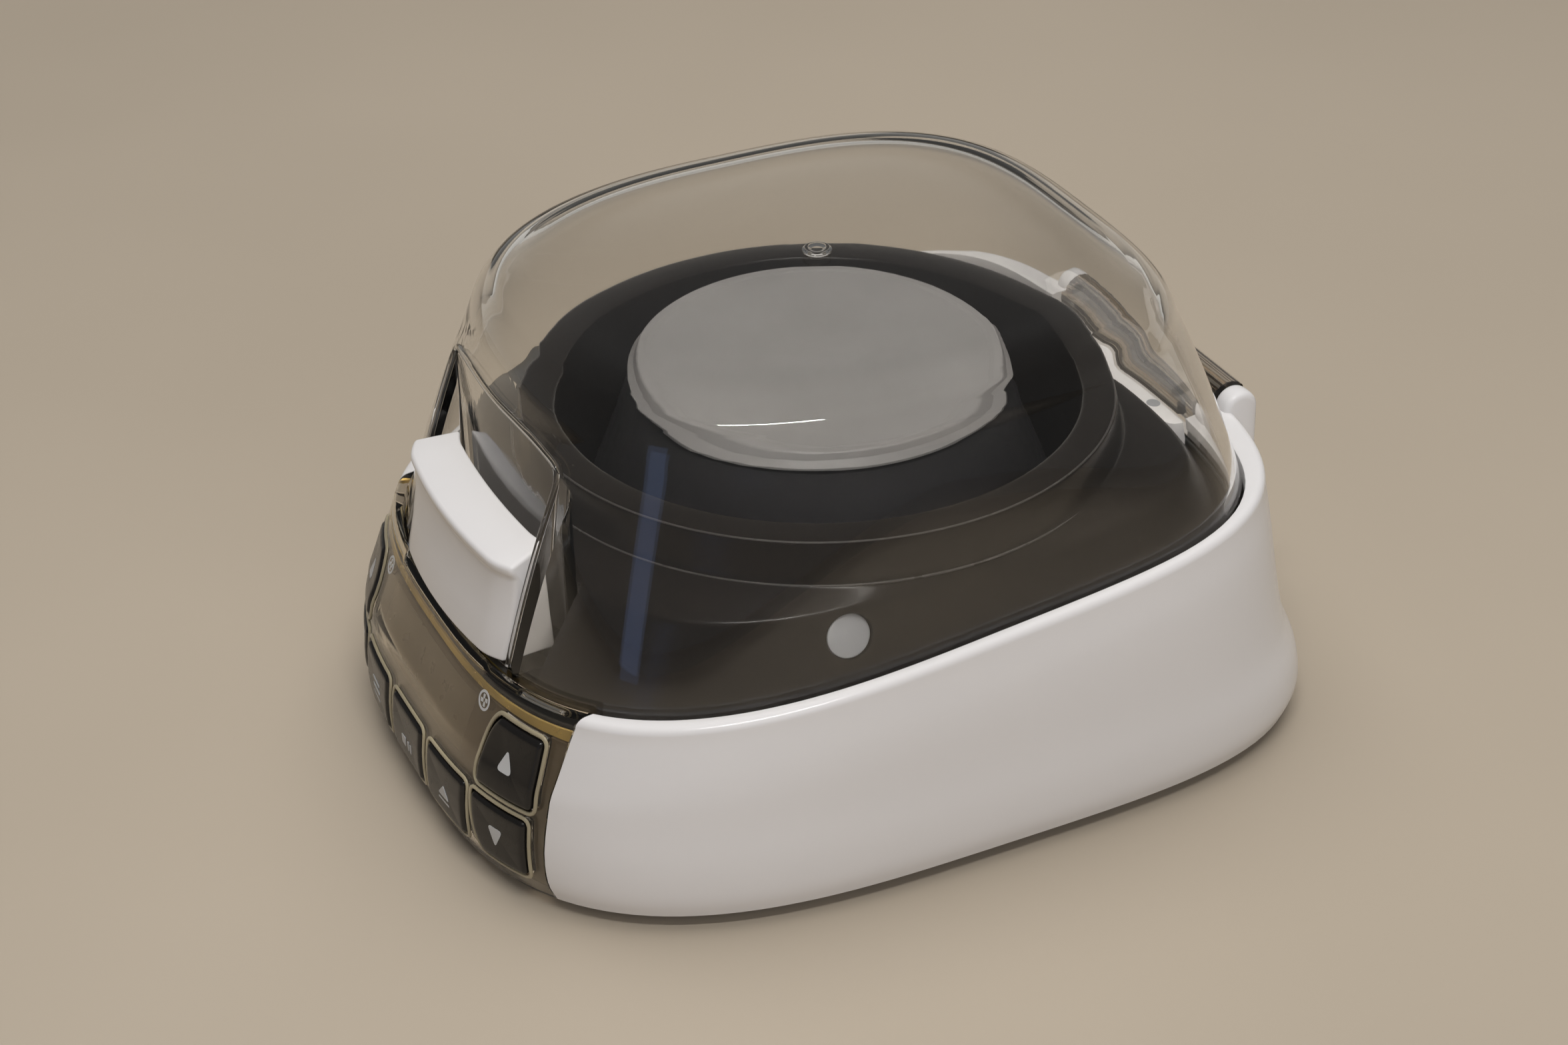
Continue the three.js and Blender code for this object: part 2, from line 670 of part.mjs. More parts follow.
// ---- rotor ----
function rotor() {
  const { rim, widest, top, bottom } = ROTOR;
  const profile = [
    [3.3, bottom + 2],
    [9, bottom],
    [44, bottom],
    [widest - 2, 53],
    [widest, 58],
    [widest - 0.6, 64],
    [rim + 0.6, top - 1],
    [rim - 0.4, top],
    [40.5, top],
    [19, 68.5],
    [9.5, 67.5],
    [9, 66],
    [3.3, 66],
    [3.3, bottom + 2],
  ];
  let made = turned(profile, 36);
  for (let i = 0; i < ROTOR.places; i++) {
    const g = new THREE.CylinderGeometry(ROTOR.hole, ROTOR.hole, 50, 12);
    g.rotateX(Math.PI / 2);
    g.translate(0, 0, 25 - 33);
    g.rotateY(THREE.MathUtils.degToRad(-45));
    g.translate(28.5, 0, 76);
    g.rotateZ((2 * Math.PI * i) / ROTOR.places);
    g.translate(0, AXIS_Y, 0);
    made = made.subtract(toSolid(g));
  }
  add("rotor_body", "rotor", made);
  const nut = rod(7, 66.6, 71.4, 0, AXIS_Y, 6).subtract(rod(3.3, 60, 80, 0, AXIS_Y, 16));
  add("rotor_nut", "steel", nut);
  const { r, flange, top: up } = COVER;
  const cap = [
    [0, up],
    [r - 1.2, up],
    [r, up - 1.2],
    [r + 0.4, up - 3.4],
    [flange, up - 3.8],
    [flange, up - 4.4],
    [r - 1, up - 4.3],
    [r - 1.4, up - 1.8],
    [0, up - 1.6],
  ];
  add("rotor_cover", "frosted", turned(cap, 48));
}

// ---- power ----
function power() {
  const bezel = (x, front) =>
    box(x - 9, x + 9, front, 113, 14, 28).add(box(x - 11, x + 11, 112.7, 114.4, 12, 30));
  add("power_inlet", "black", bezel(-35, 98).subtract(box(-41, -29, 104, 120, 16.5, 25.5)));
  add("power_switch_frame", "black", bezel(12, 100).subtract(box(5.4, 18.6, 103, 120, 15.6, 26.4)));
  const rocker = new THREE.Shape();
  rocker.moveTo(-6, -3.6);
  rocker.lineTo(0.6, -4.7);
  rocker.lineTo(-0.4, 0);
  rocker.lineTo(0.6, 4.7);
  rocker.lineTo(-6, 3.6);
  rocker.closePath();
  const g = new THREE.ExtrudeGeometry(rocker, { depth: 12.4, bevelEnabled: false });
  g.rotateX(Math.PI / 2);
  g.rotateZ(Math.PI / 2);
  g.computeBoundingBox();
  const low = g.boundingBox.min;
  g.translate(-6.2 - low.x, -2.4 - low.y, -4.7 - low.z);
  g.rotateX(THREE.MathUtils.degToRad(-4));
  g.translate(12, 109.8, 21);
  add("power_rocker", "keys", toSolid(g));
  const board = box(-48, 48, 56, 90, 12, 13.6);
  add("power_board", "board", board.add(box(-30, -10, 64, 84, 13, 29)).add(box(8, 30, 62, 80, 13, 24)));
}

sideHousing();
underside();
frontPanel();
deck();
lid();
lidHandle();
latch();
drive();
rotor();
power();

export default root;
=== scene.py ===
"""Looks of a small bench centrifuge with a clear hinged lid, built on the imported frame.

Lengths below are millimetres in the model's own frame until a piece is finished, which scales it to metres.
"""

import json
import math

import bmesh
import bpy
import numpy as np
from mathutils import Matrix, Vector
from mathutils.bvhtree import BVHTree


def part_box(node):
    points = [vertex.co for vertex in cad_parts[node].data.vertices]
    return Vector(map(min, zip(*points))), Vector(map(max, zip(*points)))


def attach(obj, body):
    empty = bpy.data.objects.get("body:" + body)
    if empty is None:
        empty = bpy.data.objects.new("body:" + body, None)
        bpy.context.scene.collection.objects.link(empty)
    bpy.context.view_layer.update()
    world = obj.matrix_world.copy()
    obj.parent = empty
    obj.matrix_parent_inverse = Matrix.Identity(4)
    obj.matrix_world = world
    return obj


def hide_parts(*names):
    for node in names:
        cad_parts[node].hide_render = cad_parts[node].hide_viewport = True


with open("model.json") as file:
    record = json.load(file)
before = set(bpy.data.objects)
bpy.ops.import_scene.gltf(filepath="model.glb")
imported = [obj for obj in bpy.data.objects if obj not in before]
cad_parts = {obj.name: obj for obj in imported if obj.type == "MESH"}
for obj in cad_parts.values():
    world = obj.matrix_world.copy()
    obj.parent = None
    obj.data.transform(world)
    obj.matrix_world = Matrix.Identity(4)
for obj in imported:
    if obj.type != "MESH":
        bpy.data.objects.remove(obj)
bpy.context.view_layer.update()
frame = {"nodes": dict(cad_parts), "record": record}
nodes = frame["nodes"]
scene = bpy.context.scene

# ---- dimensions shared by the pieces ----
AXIS_Y = -1.0  # the rotor's axis, at X = 0
RIM_Z = 63.0  # the rim's height at Y = 0
RIM_RISE = 0.11  # what the rim gains with each millimetre towards the back
HOUSING = (90.5, -113.4, 112.4)  # half width, front, back
HOUSING_POWERS = (3, 3.9)  # how square the plan is, at the front and at the back
HOUSING_WALL = 2.6
WINDOW_WALL = 2.4
PANEL_HALF = 59.2
PANEL_GAP = 0.15
LID = (84.0, -100.8, 88.0)  # half width, front and back at the rim
LID_POWERS = (2.9, 4.5)
SHOULDER = (68.4, -79.8, 74.0, 120.0)  # the same where the roof begins, and its height
LID_WALL = 2.6
LIP_DROP = -4.3  # the lip's lower edge, from the rim
LIP_ROUND = 0.7
NOTCH_HALF = 33.4  # the latch recess
NOTCH_FLOOR = 51.2
NOTCH_BACK = -85.2
NOTCH_BOW = 3.4
DECK_NOTCH = (3, 47.6, 3.4)  # the same recess in the deck: its growth, floor and corner radius
HINGE_Y = 97.6
HINGE_Z = 73.0
BARREL_R = 5.2
BARREL_HALF = 33.1
BARREL_CUT = 33.4
PIN_R = 1.6
EAR_R = 4.9
EAR_X = (33.6, 39.6)
SHROUD_TOP = 74.4
SHROUD_HALF = 38
SHROUD_CUT = 38.6
KEY_GAP = 0.4
KEY_PROUD = 1.0
KEY_EDGE = 1.1
KEY_DISH = 0.35
PLUG = (74.3, -31.0, 66.8, 17.5)  # the deck plug's place, and its lean in degrees
Q = 48  # steps in a quarter of an outline

CAMERA_AT = (0.5616, -0.2771, 0.4419)  # metres
CAMERA_AZIMUTH = -25.359  # degrees, as are its elevation and roll
CAMERA_ELEVATION = 32.303
CAMERA_ROLL = -0.956
LENS = 67.18


# ---- camera ----
def camera():
    data = bpy.data.cameras.new("camera")
    data.lens = LENS
    data.sensor_width = 36.0
    data.clip_start = 0.01
    ob = bpy.data.objects.new("camera", data)
    a = math.radians(CAMERA_AZIMUTH)
    h = math.radians(CAMERA_ELEVATION)
    back = Vector((math.cos(h) * math.cos(a), math.cos(h) * math.sin(a), math.sin(h)))
    level = Vector((-math.sin(a), math.cos(a), 0))
    roll = Matrix.Rotation(math.radians(CAMERA_ROLL), 3, back)
    right = roll @ level
    place = Matrix((right, back.cross(right), back)).transposed().to_4x4()
    place.translation = Vector(CAMERA_AT)
    ob.matrix_world = place
    scene.collection.objects.link(ob)
    scene.camera = ob


# ---- materials ----
def tree(name):
    mat = bpy.data.materials.new(name)
    mat.use_nodes = True
    nt = mat.node_tree
    return mat, nt, nt.nodes["Principled BSDF"]


def noise(nt, scale, detail=3.0, stretch=None):
    where = nt.nodes.new("ShaderNodeTexCoord")
    tex = nt.nodes.new("ShaderNodeTexNoise")
    tex.inputs["Scale"].default_value = scale
    tex.inputs["Detail"].default_value = detail
    source = where.outputs["Object"]
    if stretch:
        mapping = nt.nodes.new("ShaderNodeMapping")
        mapping.inputs["Scale"].default_value = stretch
        nt.links.new(source, mapping.inputs["Vector"])
        source = mapping.outputs["Vector"]
    nt.links.new(source, tex.inputs["Vector"])
    return tex.outputs["Fac"]


def ramp(nt, source, low, high, start=0.3, end=0.7):
    """source spread from low to high: numbers or colours."""
    if isinstance(low, (int, float)):
        node = nt.nodes.new("ShaderNodeMapRange")
        node.inputs["From Min"].default_value = start
        node.inputs["From Max"].default_value = end
        node.inputs["To Min"].default_value = low
        node.inputs["To Max"].default_value = high
        nt.links.new(source, node.inputs["Value"])
        return node.outputs["Result"]
    node = nt.nodes.new("ShaderNodeValToRGB")
    node.color_ramp.elements[0].position = start
    node.color_ramp.elements[1].position = end
    node.color_ramp.elements[0].color = (*low, 1)
    node.color_ramp.elements[1].color = (*high, 1)
    nt.links.new(source, node.inputs["Fac"])
    return node.outputs["Color"]


def bump(nt, source, strength, distance, before=None):
    node = nt.nodes.new("ShaderNodeBump")
    node.inputs["Strength"].default_value = strength
    node.inputs["Distance"].default_value = distance
    nt.links.new(source, node.inputs["Height"])
    if before is not None:
        nt.links.new(before, node.inputs["Normal"])
    return node.outputs["Normal"]


def moulded(
    name,
    colour,
    rough,
    vary=0.06,
    grain=1400,
    grain_depth=0.25,
    wave=0.0,
    metal=0.0,
    coat=0.0,
    edge=0.0,
    drift=0.12,
    shine=0.5,
):
    """Moulded plastic, rubber or foil: tone and gloss drift a little, and the skin has a fine grain."""
    mat, nt, bsdf = tree(name)
    low = tuple(c * (1 - vary) for c in colour)
    high = tuple(min(1.0, c * (1 + vary)) for c in colour)
    nt.links.new(ramp(nt, noise(nt, 34, 5), low, high), bsdf.inputs["Base Color"])
    rough_field = ramp(nt, noise(nt, 240, 4), rough * (1 - drift), rough * (1 + drift))
    nt.links.new(rough_field, bsdf.inputs["Roughness"])
    bsdf.inputs["Metallic"].default_value = metal
    bsdf.inputs["Coat Weight"].default_value = coat
    bsdf.inputs["Coat Roughness"].default_value = 0.06
    normal = None
    if edge:
        round_off = nt.nodes.new("ShaderNodeBevel")
        round_off.inputs["Radius"].default_value = edge * 0.001
        round_off.samples = 4
        normal = round_off.outputs["Normal"]
    if wave:
        normal = bump(nt, noise(nt, 55, 2), wave, 0.0006, normal)
    normal = bump(nt, noise(nt, grain, 3), grain_depth, 0.00006, normal)
    bsdf.inputs["Specular IOR Level"].default_value = shine
    nt.links.new(normal, bsdf.inputs["Normal"])
    return mat


def brushed(name, colour, rough, stretch):
    """Turned or drawn metal with fine lines along one direction."""
    mat, nt, bsdf = tree(name)
    lines = noise(nt, 900, 4, stretch=stretch)
    nt.links.new(ramp(nt, lines, tuple(c * 0.86 for c in colour), colour), bsdf.inputs["Base Color"])
    nt.links.new(ramp(nt, lines, rough * 0.8, rough * 1.25), bsdf.inputs["Roughness"])
    bsdf.inputs["Metallic"].default_value = 1.0
    nt.links.new(bump(nt, lines, 0.2, 0.00004), bsdf.inputs["Normal"])
    return mat


def clear(name, colour, rough=0.015, ior=1.49, shade=(0.93, 0.92, 0.9), wave=0.02):
    """Clear plastic that bends light, and lets most of the lamps' light through to what it covers."""
    mat, nt, bsdf = tree(name)
    bsdf.inputs["Base Color"].default_value = (*colour, 1)
    bsdf.inputs["Transmission Weight"].default_value = 1.0
    bsdf.inputs["IOR"].default_value = ior
    nt.links.new(ramp(nt, noise(nt, 60, 4), rough * 0.6, rough * 1.6), bsdf.inputs["Roughness"])
    nt.links.new(bump(nt, noise(nt, 26, 2), wave, 0.0008), bsdf.inputs["Normal"])
    path = nt.nodes.new("ShaderNodeLightPath")
    open_air = nt.nodes.new("ShaderNodeBsdfTransparent")
    open_air.inputs["Color"].default_value = (*shade, 1)
    mix = nt.nodes.new("ShaderNodeMixShader")
    nt.links.new(path.outputs["Is Shadow Ray"], mix.inputs["Fac"])
    nt.links.new(bsdf.outputs["BSDF"], mix.inputs[1])
    nt.links.new(open_air.outputs["BSDF"], mix.inputs[2])
    nt.links.new(mix.outputs["Shader"], nt.nodes["Material Output"].inputs["Surface"])
    return mat


MAT = {
    "white": moulded("white gloss", (0.74, 0.72, 0.715), 0.22, 0.006, 900, 0.01, coat=0.2, drift=0.03),
    # thin lines on the deck's step edges, lighter than the deck: painted highlights
    "deck_step_highlight": moulded("deck step painted highlight", (0.055, 0.05, 0.047), 0.3, 0.1, 1500, 0.02, shine=0.4),
    "deck": moulded(
        "charcoal deck", (0.0115, 0.0092, 0.0074), 0.2, 0.04, 1500, 0.005, drift=0.04, shine=0.35
    ),
    "lid": clear("clear lid", (0.985, 0.975, 0.955), wave=0.008),
    "hinge_clear": clear("smoky hinge plastic", (0.60, 0.53, 0.44), 0.06),
    "window": clear("amber panel window", (0.93, 0.87, 0.76), 0.03, shade=(0.85, 0.8, 0.72)),
    # pale colour on the clear rims round the keys: painted highlight
    "rim": moulded("window rim painted highlight", (0.33, 0.285, 0.19), 0.2, 0.3, 400, 0.2, coat=0.4),
    "foil": moulded("bronze foil", (0.088, 0.070, 0.050), 0.42, 0.10, 3200, 0.35, metal=0.25),
    "display": moulded("display pane", (0.090, 0.076, 0.058), 0.3, 0.05, 2400, 0.1, metal=0.2),
    # a golden sheet behind the panel window's clear top band: painted glints, standing in for warm
    # reflections in the clear plastic
    "painted_reflection": moulded("golden painted reflection band", (0.62, 0.47, 0.17), 0.26, 0.4, 300, 0.6, 0.6, metal=0.55),
    "keys": moulded(
        "black key cap", (0.0095, 0.0085, 0.0078), 0.26, 0.1, 1800, 0.08, 0.03, coat=0.1, shine=0.4
    ),
    "print": moulded("grey print", (0.50, 0.50, 0.50), 0.5, 0.05, 2400, 0.1),
    "cap": moulded("frosted cap", (0.245, 0.236, 0.232), 0.36, 0.07, 1500, 0.3, 0.05),
    "rotor": moulded("rotor", (0.022, 0.021, 0.022), 0.4, 0.08, 1800, 0.35, edge=0.3),
    "rubber": moulded("black rubber", (0.018, 0.018, 0.018), 0.78, 0.15, 2200, 0.6, edge=0.2),
    "black": moulded("satin black", (0.02, 0.02, 0.02), 0.42, 0.1, 2400, 0.4, edge=0.3),
    "grey": moulded("light grey plug", (0.33, 0.335, 0.345), 0.4, 0.05, 1600, 0.2, edge=0.3),
    "board": moulded("circuit board", (0.02, 0.10, 0.045), 0.45, 0.2, 500, 0.3),
    "steel": brushed("machined steel", (0.62, 0.63, 0.64), 0.3, (1, 1, 0.03)),
    "copper": brushed("copper winding", (0.72, 0.36, 0.18), 0.32, (0.05, 0.05, 1)),
}


# ---- outlines and solids; a solid named "c" is a working one, used up by a cut, join or common ----
def quarter(side, reach, power):
    """A quarter of a superellipse from (side, 0) to (0, reach), in steps of equal length."""
    t = np.linspace(0, math.pi / 2, 1600)
    x = side * np.clip(np.cos(t), 0, 1) ** (2 / power)
    y = reach * np.clip(np.sin(t), 0, 1) ** (2 / power)
    run = np.concatenate([[0], np.cumsum(np.hypot(np.diff(x), np.diff(y)))])
    u = np.linspace(0, run[-1], Q + 1)
    return np.interp(u, run, x), np.interp(u, run, y)


def plan(side, front, back, nf, nb, centre, z):
    """An outline in plan: two half superellipses back to back. z is a height, or a height for each Y."""
    xb, yb = quarter(side, back - centre, nb)
    xf, yf = quarter(side, centre - front, nf)
    x = np.concatenate([xb[:-1], -xb[:0:-1], -xf[:-1], xf[:0:-1]])
    y = centre + np.concatenate([yb[:-1], yb[:0:-1], -yf[:-1], -yf[:0:-1]])
    height = z(y) if callable(z) else np.full(len(x), float(z))
    return np.stack([x, y, height], 1)


def lid_plan(side, front, back, z):
    return plan(side, front, back, *LID_POWERS, AXIS_Y, z)


def on_rim(dz):
    """Heights on the sloping plane of the rim, or dz above it."""
    return lambda y: RIM_Z + RIM_RISE * y + dz


def circle(r, z):
    return plan(r, AXIS_Y - r, AXIS_Y + r, 2, 2, AXIS_Y, z)


def body(side, front, back, z, inset=0.0):
    """The housing's outline, drawn in by side, front and back."""
    half, nose, tail = HOUSING
    return plan(half - side - inset, nose + front + inset, tail - back - inset, *HOUSING_POWERS, 0, z)


def smooth(rows, steps):
    """The rows with more between them, on a curve through the same points."""
    gap = [float(np.linalg.norm(b - a, axis=1).mean()) + 1e-9 for a, b in zip(rows, rows[1:])]
    slopes = []
    for i in range(len(rows)):
        if i == 0:
            slopes.append((rows[1] - rows[0]) / gap[0])
        elif i == len(rows) - 1:
            slopes.append((rows[-1] - rows[-2]) / gap[-1])
        else:
            a = (rows[i] - rows[i - 1]) / gap[i - 1]
            b = (rows[i + 1] - rows[i]) / gap[i]
            slopes.append((a * gap[i] + b * gap[i - 1]) / (gap[i] + gap[i - 1]))
    out = []
    for i, length in enumerate(gap):
        for k in range(steps):
            t = k / steps
            a = 2 * t**3 - 3 * t**2 + 1
            b = (t**3 - 2 * t**2 + t) * length
            c = -2 * t**3 + 3 * t**2
            d = (t**3 - t**2) * length
            out.append(a * rows[i] + b * slopes[i] + c * rows[i + 1] + d * slopes[i + 1])
    out.append(rows[-1])
    return out


def eased(items, looped=False, steps=4):
    """Rows in a chain, (row, radius) each, with every corner that has a radius rounded off."""
    out = []
    count = len(items)
    for i, (row, radius) in enumerate(items):
        end = not looped and i in (0, count - 1)
        if not radius or end:
            out.append(row)
            continue
        to_a = items[i - 1][0] - row
        to_b = items[(i + 1) % count][0] - row
        len_a = np.linalg.norm(to_a, axis=1, keepdims=True) + 1e-9
        len_b = np.linalg.norm(to_b, axis=1, keepdims=True) + 1e-9
        a = row + to_a / len_a * np.minimum(radius, 0.45 * len_a)
        b = row + to_b / len_b * np.minimum(radius, 0.45 * len_b)
        for k in range(steps + 1):
            t = k / steps
            out.append((1 - t) ** 2 * a + 2 * t * (1 - t) * row + t * t * b)
    return out


def solid(name, verts, faces):
    mesh = bpy.data.meshes.new(name)
    mesh.from_pydata([tuple(map(float, v)) for v in verts], [], faces)
    bm = bmesh.new()
    bm.from_mesh(mesh)
    bmesh.ops.recalc_face_normals(bm, faces=bm.faces)
    bm.to_mesh(mesh)
    bm.free()
    ob = bpy.data.objects.new(name, mesh)
    scene.collection.objects.link(ob)
    return ob


def quads(rows, looped=False):
    """The faces between each row and the next."""
    n = len(rows[0])
    faces = []
    for r in range(len(rows) if looped else len(rows) - 1):
        a = r * n
        b = ((r + 1) % len(rows)) * n
        faces += [(a + i, a + (i + 1) % n, b + (i + 1) % n, b + i) for i in range(n)]
    return faces


def skin(name, rows, looped=False, caps=True):
    """A skin over rows of as many points each, closed on itself where looped or else capped at its ends."""
    n = len(rows[0])
    faces = quads(rows, looped)
    if caps and not looped:
        faces.append(tuple(range(n))[::-1])
        top = (len(rows) - 1) * n
        faces.append(tuple(range(top, top + n)))
    return solid(name, np.concatenate(rows), faces)


def block(name, x0, x1, y0, y1, z0, z1):
    ring = [(x0, y0), (x1, y0), (x1, y1), (x0, y1)]
    return prism(name, ring, z0, z1)


def prism(name, outline, z0, z1):
    """An upright prism over an outline in plan."""
    n = len(outline)
    verts = [(x, y, z0) for x, y in outline] + [(x, y, z1) for x, y in outline]
    faces = [tuple(range(n))[::-1], tuple(range(n, 2 * n))]
    faces += [(i, (i + 1) % n, n + (i + 1) % n, n + i) for i in range(n)]
    return solid(name, verts, faces)


def lathe(name, profile, segments=96, x=0.0, y=AXIS_Y):
    """A closed profile of (radius, height) turned round an upright axis."""
    rows = []
    for r, z in profile:
        a = np.linspace(0, 2 * math.pi, segments, endpoint=False)
        rows.append(np.stack([x + r * np.cos(a), y + r * np.sin(a), np.full(segments, float(z))], 1))
    ends = profile[0][0] < 1e-6 and profile[-1][0] < 1e-6
    ob = skin(name, rows, looped=not ends, caps=False)
    return weld(ob, 1e-4)


def weld(ob, distance):
    bm = bmesh.new()
    bm.from_mesh(ob.data)
    bmesh.ops.remove_doubles(bm, verts=bm.verts, dist=distance)
    bmesh.ops.dissolve_degenerate(bm, edges=bm.edges, dist=distance)
    bmesh.ops.recalc_face_normals(bm, faces=bm.faces)
    bm.to_mesh(ob.data)
    bm.free()
    return ob


def rounded(points, closed=True, steps=6):
    """A flat outline of (x, y) or (x, y, radius) points with its corners rounded."""
    out = []
    count = len(points)
    for i, point in enumerate(points):
        p = np.array(point[:2], float)
        radius = point[2] if len(point) > 2 else 0
        if not radius or (not closed and i in (0, count - 1)):
            out.append(tuple(p))
            continue
        u = np.array(points[i - 1][:2], float) - p
        v = np.array(points[(i + 1) % count][:2], float) - p
        lu = float(np.linalg.norm(u))
        lv = float(np.linalg.norm(v))
        half = math.acos(max(-1.0, min(1.0, float(u @ v) / (lu * lv)))) / 2
        cut = min(radius / math.tan(half), lu * 0.48, lv * 0.48)
        a = p + u / lu * cut
        b = p + v / lv * cut
        for k in range(steps + 1):
            t = k / steps
            out.append(tuple((1 - t) ** 2 * a + 2 * t * (1 - t) * p + t * t * b))
    return out


def bar(name, outline, start, end, bevel=0.0):
    """An outline in Y and Z drawn out along X, with its edges bevelled where bevel is given."""
    n = len(outline)
    verts = [(start, y, z) for y, z in outline] + [(end, y, z) for y, z in outline]
    faces = [tuple(range(n))[::-1], tuple(range(n, 2 * n))]
    faces += [(i, (i + 1) % n, n + (i + 1) % n, n + i) for i in range(n)]
    ob = solid(name, verts, faces)
    return bevelled(ob, bevel) if bevel else ob


def applied(ob):
    dg = bpy.context.evaluated_depsgraph_get()
    mesh = bpy.data.meshes.new_from_object(ob.evaluated_get(dg))
    old = ob.data
    ob.modifiers.clear()
    ob.data = mesh
    bpy.data.meshes.remove(old)
    return ob


def bevelled(ob, width, steps=3, angle=30.0):
    mod = ob.modifiers.new("edges", "BEVEL")
    mod.width = width
    mod.segments = steps
    mod.limit_method = "ANGLE"
    mod.angle_limit = math.radians(angle)
    return applied(ob)


def combine(ob, other, operation):
    """ob with other cut away, joined or kept in common. other is used up."""
    source = ob.data.copy()
    for solver in ("MANIFOLD", "EXACT"):
        mod = ob.modifiers.new("shape", "BOOLEAN")
        mod.operation = operation
        mod.object = other
        mod.solver = solver
        applied(ob)
        if len(ob.data.polygons) > 0:
            break
        ob.data = source.copy()
    bpy.data.objects.remove(other)
    return ob


def cut(ob, other):
    return combine(ob, other, "DIFFERENCE")


def join(ob, other):
    return combine(ob, other, "UNION")


def common(ob, other):
    return combine(ob, other, "INTERSECT")


def done(ob, look, rides, *stands_for, sharp=32.0):
    """Scales a piece to metres, shades it, gives it its material and hangs it on its body."""
    ob.data.transform(Matrix.Scale(0.001, 4))
    ob.data.materials.clear()
    ob.data.materials.append(MAT[look])
    ob.data.shade_smooth()
    ob.data.set_sharp_from_angle(angle=math.radians(sharp))
    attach(ob, rides)
    if stands_for:
        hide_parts(*stands_for)


# ---- the housing's surface ----
def wall_rows(inset):
    rows = [
        body(1.8, 1.8, 1.8, 4, inset),
        body(0.6, 0.6, 0.6, 8, inset),
        body(0, 0, 1.6, 15, inset),
        body(0.4, 1.6, 7.6, 29, inset),
        body(1.1, 5, 14.2, on_rim(-13), inset),
        body(2.2, 8.2, 15.6, on_rim(-5), inset),
    ]
    return smooth(rows, 4)


def top_rows():
    """The rolled top edge, from the wall up and over to the flat rim."""
    rows = []
    for k in range(9):
        a = math.radians(90 * k / 8)
        f = 1 - math.cos(a)
        rows.append(body(2.6 + 1.9 * f, 9.4 + 2.1 * f, 15.95 + 1.9 * f, on_rim(-2.2 + 2.2 * math.sin(a))))
    return rows


def opening(grow, dz):
    """The edge of the hole that the lid closes."""
    side, front, back = LID
    return lid_plan(side + grow, front - grow - 0.1, back + grow, on_rim(dz))


def outside_rows():
    return wall_rows(0) + top_rows()


def shell_rows(wall):
    inner = wall_rows(wall)
    inner[-1] = body(2.2, 8.2, 15.6, on_rim(-5.6), wall)
    lip = [opening(0.85, 0), opening(0.68, -0.08), opening(0.6, -0.3), opening(0.6, -3.4)]
    return outside_rows() + lip + inner[::-1]


def surface_tree():
    rows = outside_rows()
    return BVHTree.FromPolygons([tuple(v) for v in np.concatenate(rows)], quads(rows))


SURFACE = surface_tree()


def power_pad(shell):
    """The flat pad on the back, with the holes for the mains inlet and the switch."""
    shell = join(shell, bevelled(block("c", -50, 26, 101.2, 112.4, 10, 32), 1.2))
    for x in (-35, 12):
        shell = cut(shell, block("c", x - 9.4, x + 9.4, 98, 125, 13.6, 28.4))
    return shell


def hinge_ear(side, x0, x1):
    """A post that grows out of the back wall and holds one end of the hinge pin."""
    outline = [(92.7, 58), (99.6, 36), (101.4, 30), (HINGE_Y + 5.9, 34), (HINGE_Y + 5.2, 62)]
    for k in range(21):
        a = math.pi * k / 20
        outline.append((HINGE_Y + EAR_R * math.cos(a), HINGE_Z + EAR_R * math.sin(a)))
    done(bar(f"hinge_ear_{side}", outline, x0, x1, 1.7), "white", "base")


def housing():
    shell = skin("housing_shell", shell_rows(HOUSING_WALL), looped=True)
    half = PANEL_HALF + PANEL_GAP
    shell = cut(shell, block("c", -half, half, -130, -50, 0, 90))
    behind = common(block("c", -40, 40, 89, 112, 63, 90), skin("c", outside_rows()))
    shell = join(shell, behind)
    shell = cut(shell, block("c", -BARREL_CUT, BARREL_CUT, 86, 125, 66, 95))
    done(power_pad(shell), "white", "base", "side_housing")
    near, far = EAR_X
    hinge_ear("left", -far, -near)
    hinge_ear("right", near, far)


# ---- front panel and keys ----
# each key's middle in X, its bottom and top, its half width, its turn in degrees about an upright
# axis, and 1 or -1 where its top or its bottom corner is cut off by a curve
KEYS = {
    "program": (-24, (9.5, 24.5), 9.8, 5, 0),
    "start_stop": (0, (9.5, 24.5), 9.8, 0, 0),
    "open": (24, (9.5, 24.5), 9.8, -5, 0),
    "right_up": (46, (28.2, 45), 9.4, -20, 1),
    "right_down": (46, (9.5, 24.5), 9.4, -20, -1),
    "left_up": (-46, (28.2, 45), 9.4, 20, 1),
    "left_down": (-46, (9.5, 24.5), 9.4, 20, -1),
}


def panel_y(x, z):
    """About where the panel's face is. The rays of on_panel find the face itself."""
    back = 1.6 * max(0, z - 15) / 14 if z < 29 else 1.6 + (z - 29) * 3.4 / 9
    return (HOUSING[1] + back) * (1 - abs(x / 90) ** 3) ** (1 / 3)


def key_outline(key, grow):
    """A key's edge, as distances across it from its middle and heights."""
    _, (z0, z1), half, turn, arc = KEYS[key]
    u0, u1, w0, w1 = -half - grow, half + grow, z0 - grow, z1 + grow
    r = 1.3 + grow
    if not arc:
        points = [(u0, w0, r), (u1, w0, r), (u1, w1, r), (u0, w1, r)]
        return spaced(rounded(points), 96)
    near, far = (w0, w1) if arc > 0 else (w1, w0)
    t = math.copysign(1, turn)
    out, inn = (u1, u0) if t < 0 else (u0, u1)
    step = math.copysign(1, far - near)
    points = [(out, near, r), (out, far, r), (inn - t * 4.6, far, 1.6)]
    p0, p1, p2 = (inn - t * 4.6, far), (inn - t * 0.6, far - step * 2.5), (inn, near + step * 3)
    for k in range(1, 9):
        s = k / 8
        curve = [(1 - s) ** 2 * a + 2 * s * (1 - s) * b + s * s * c for a, b, c in zip(p0, p1, p2)]
        points.append(tuple(curve))
    points.append((inn, near, r))
    return spaced(rounded(points), 96)


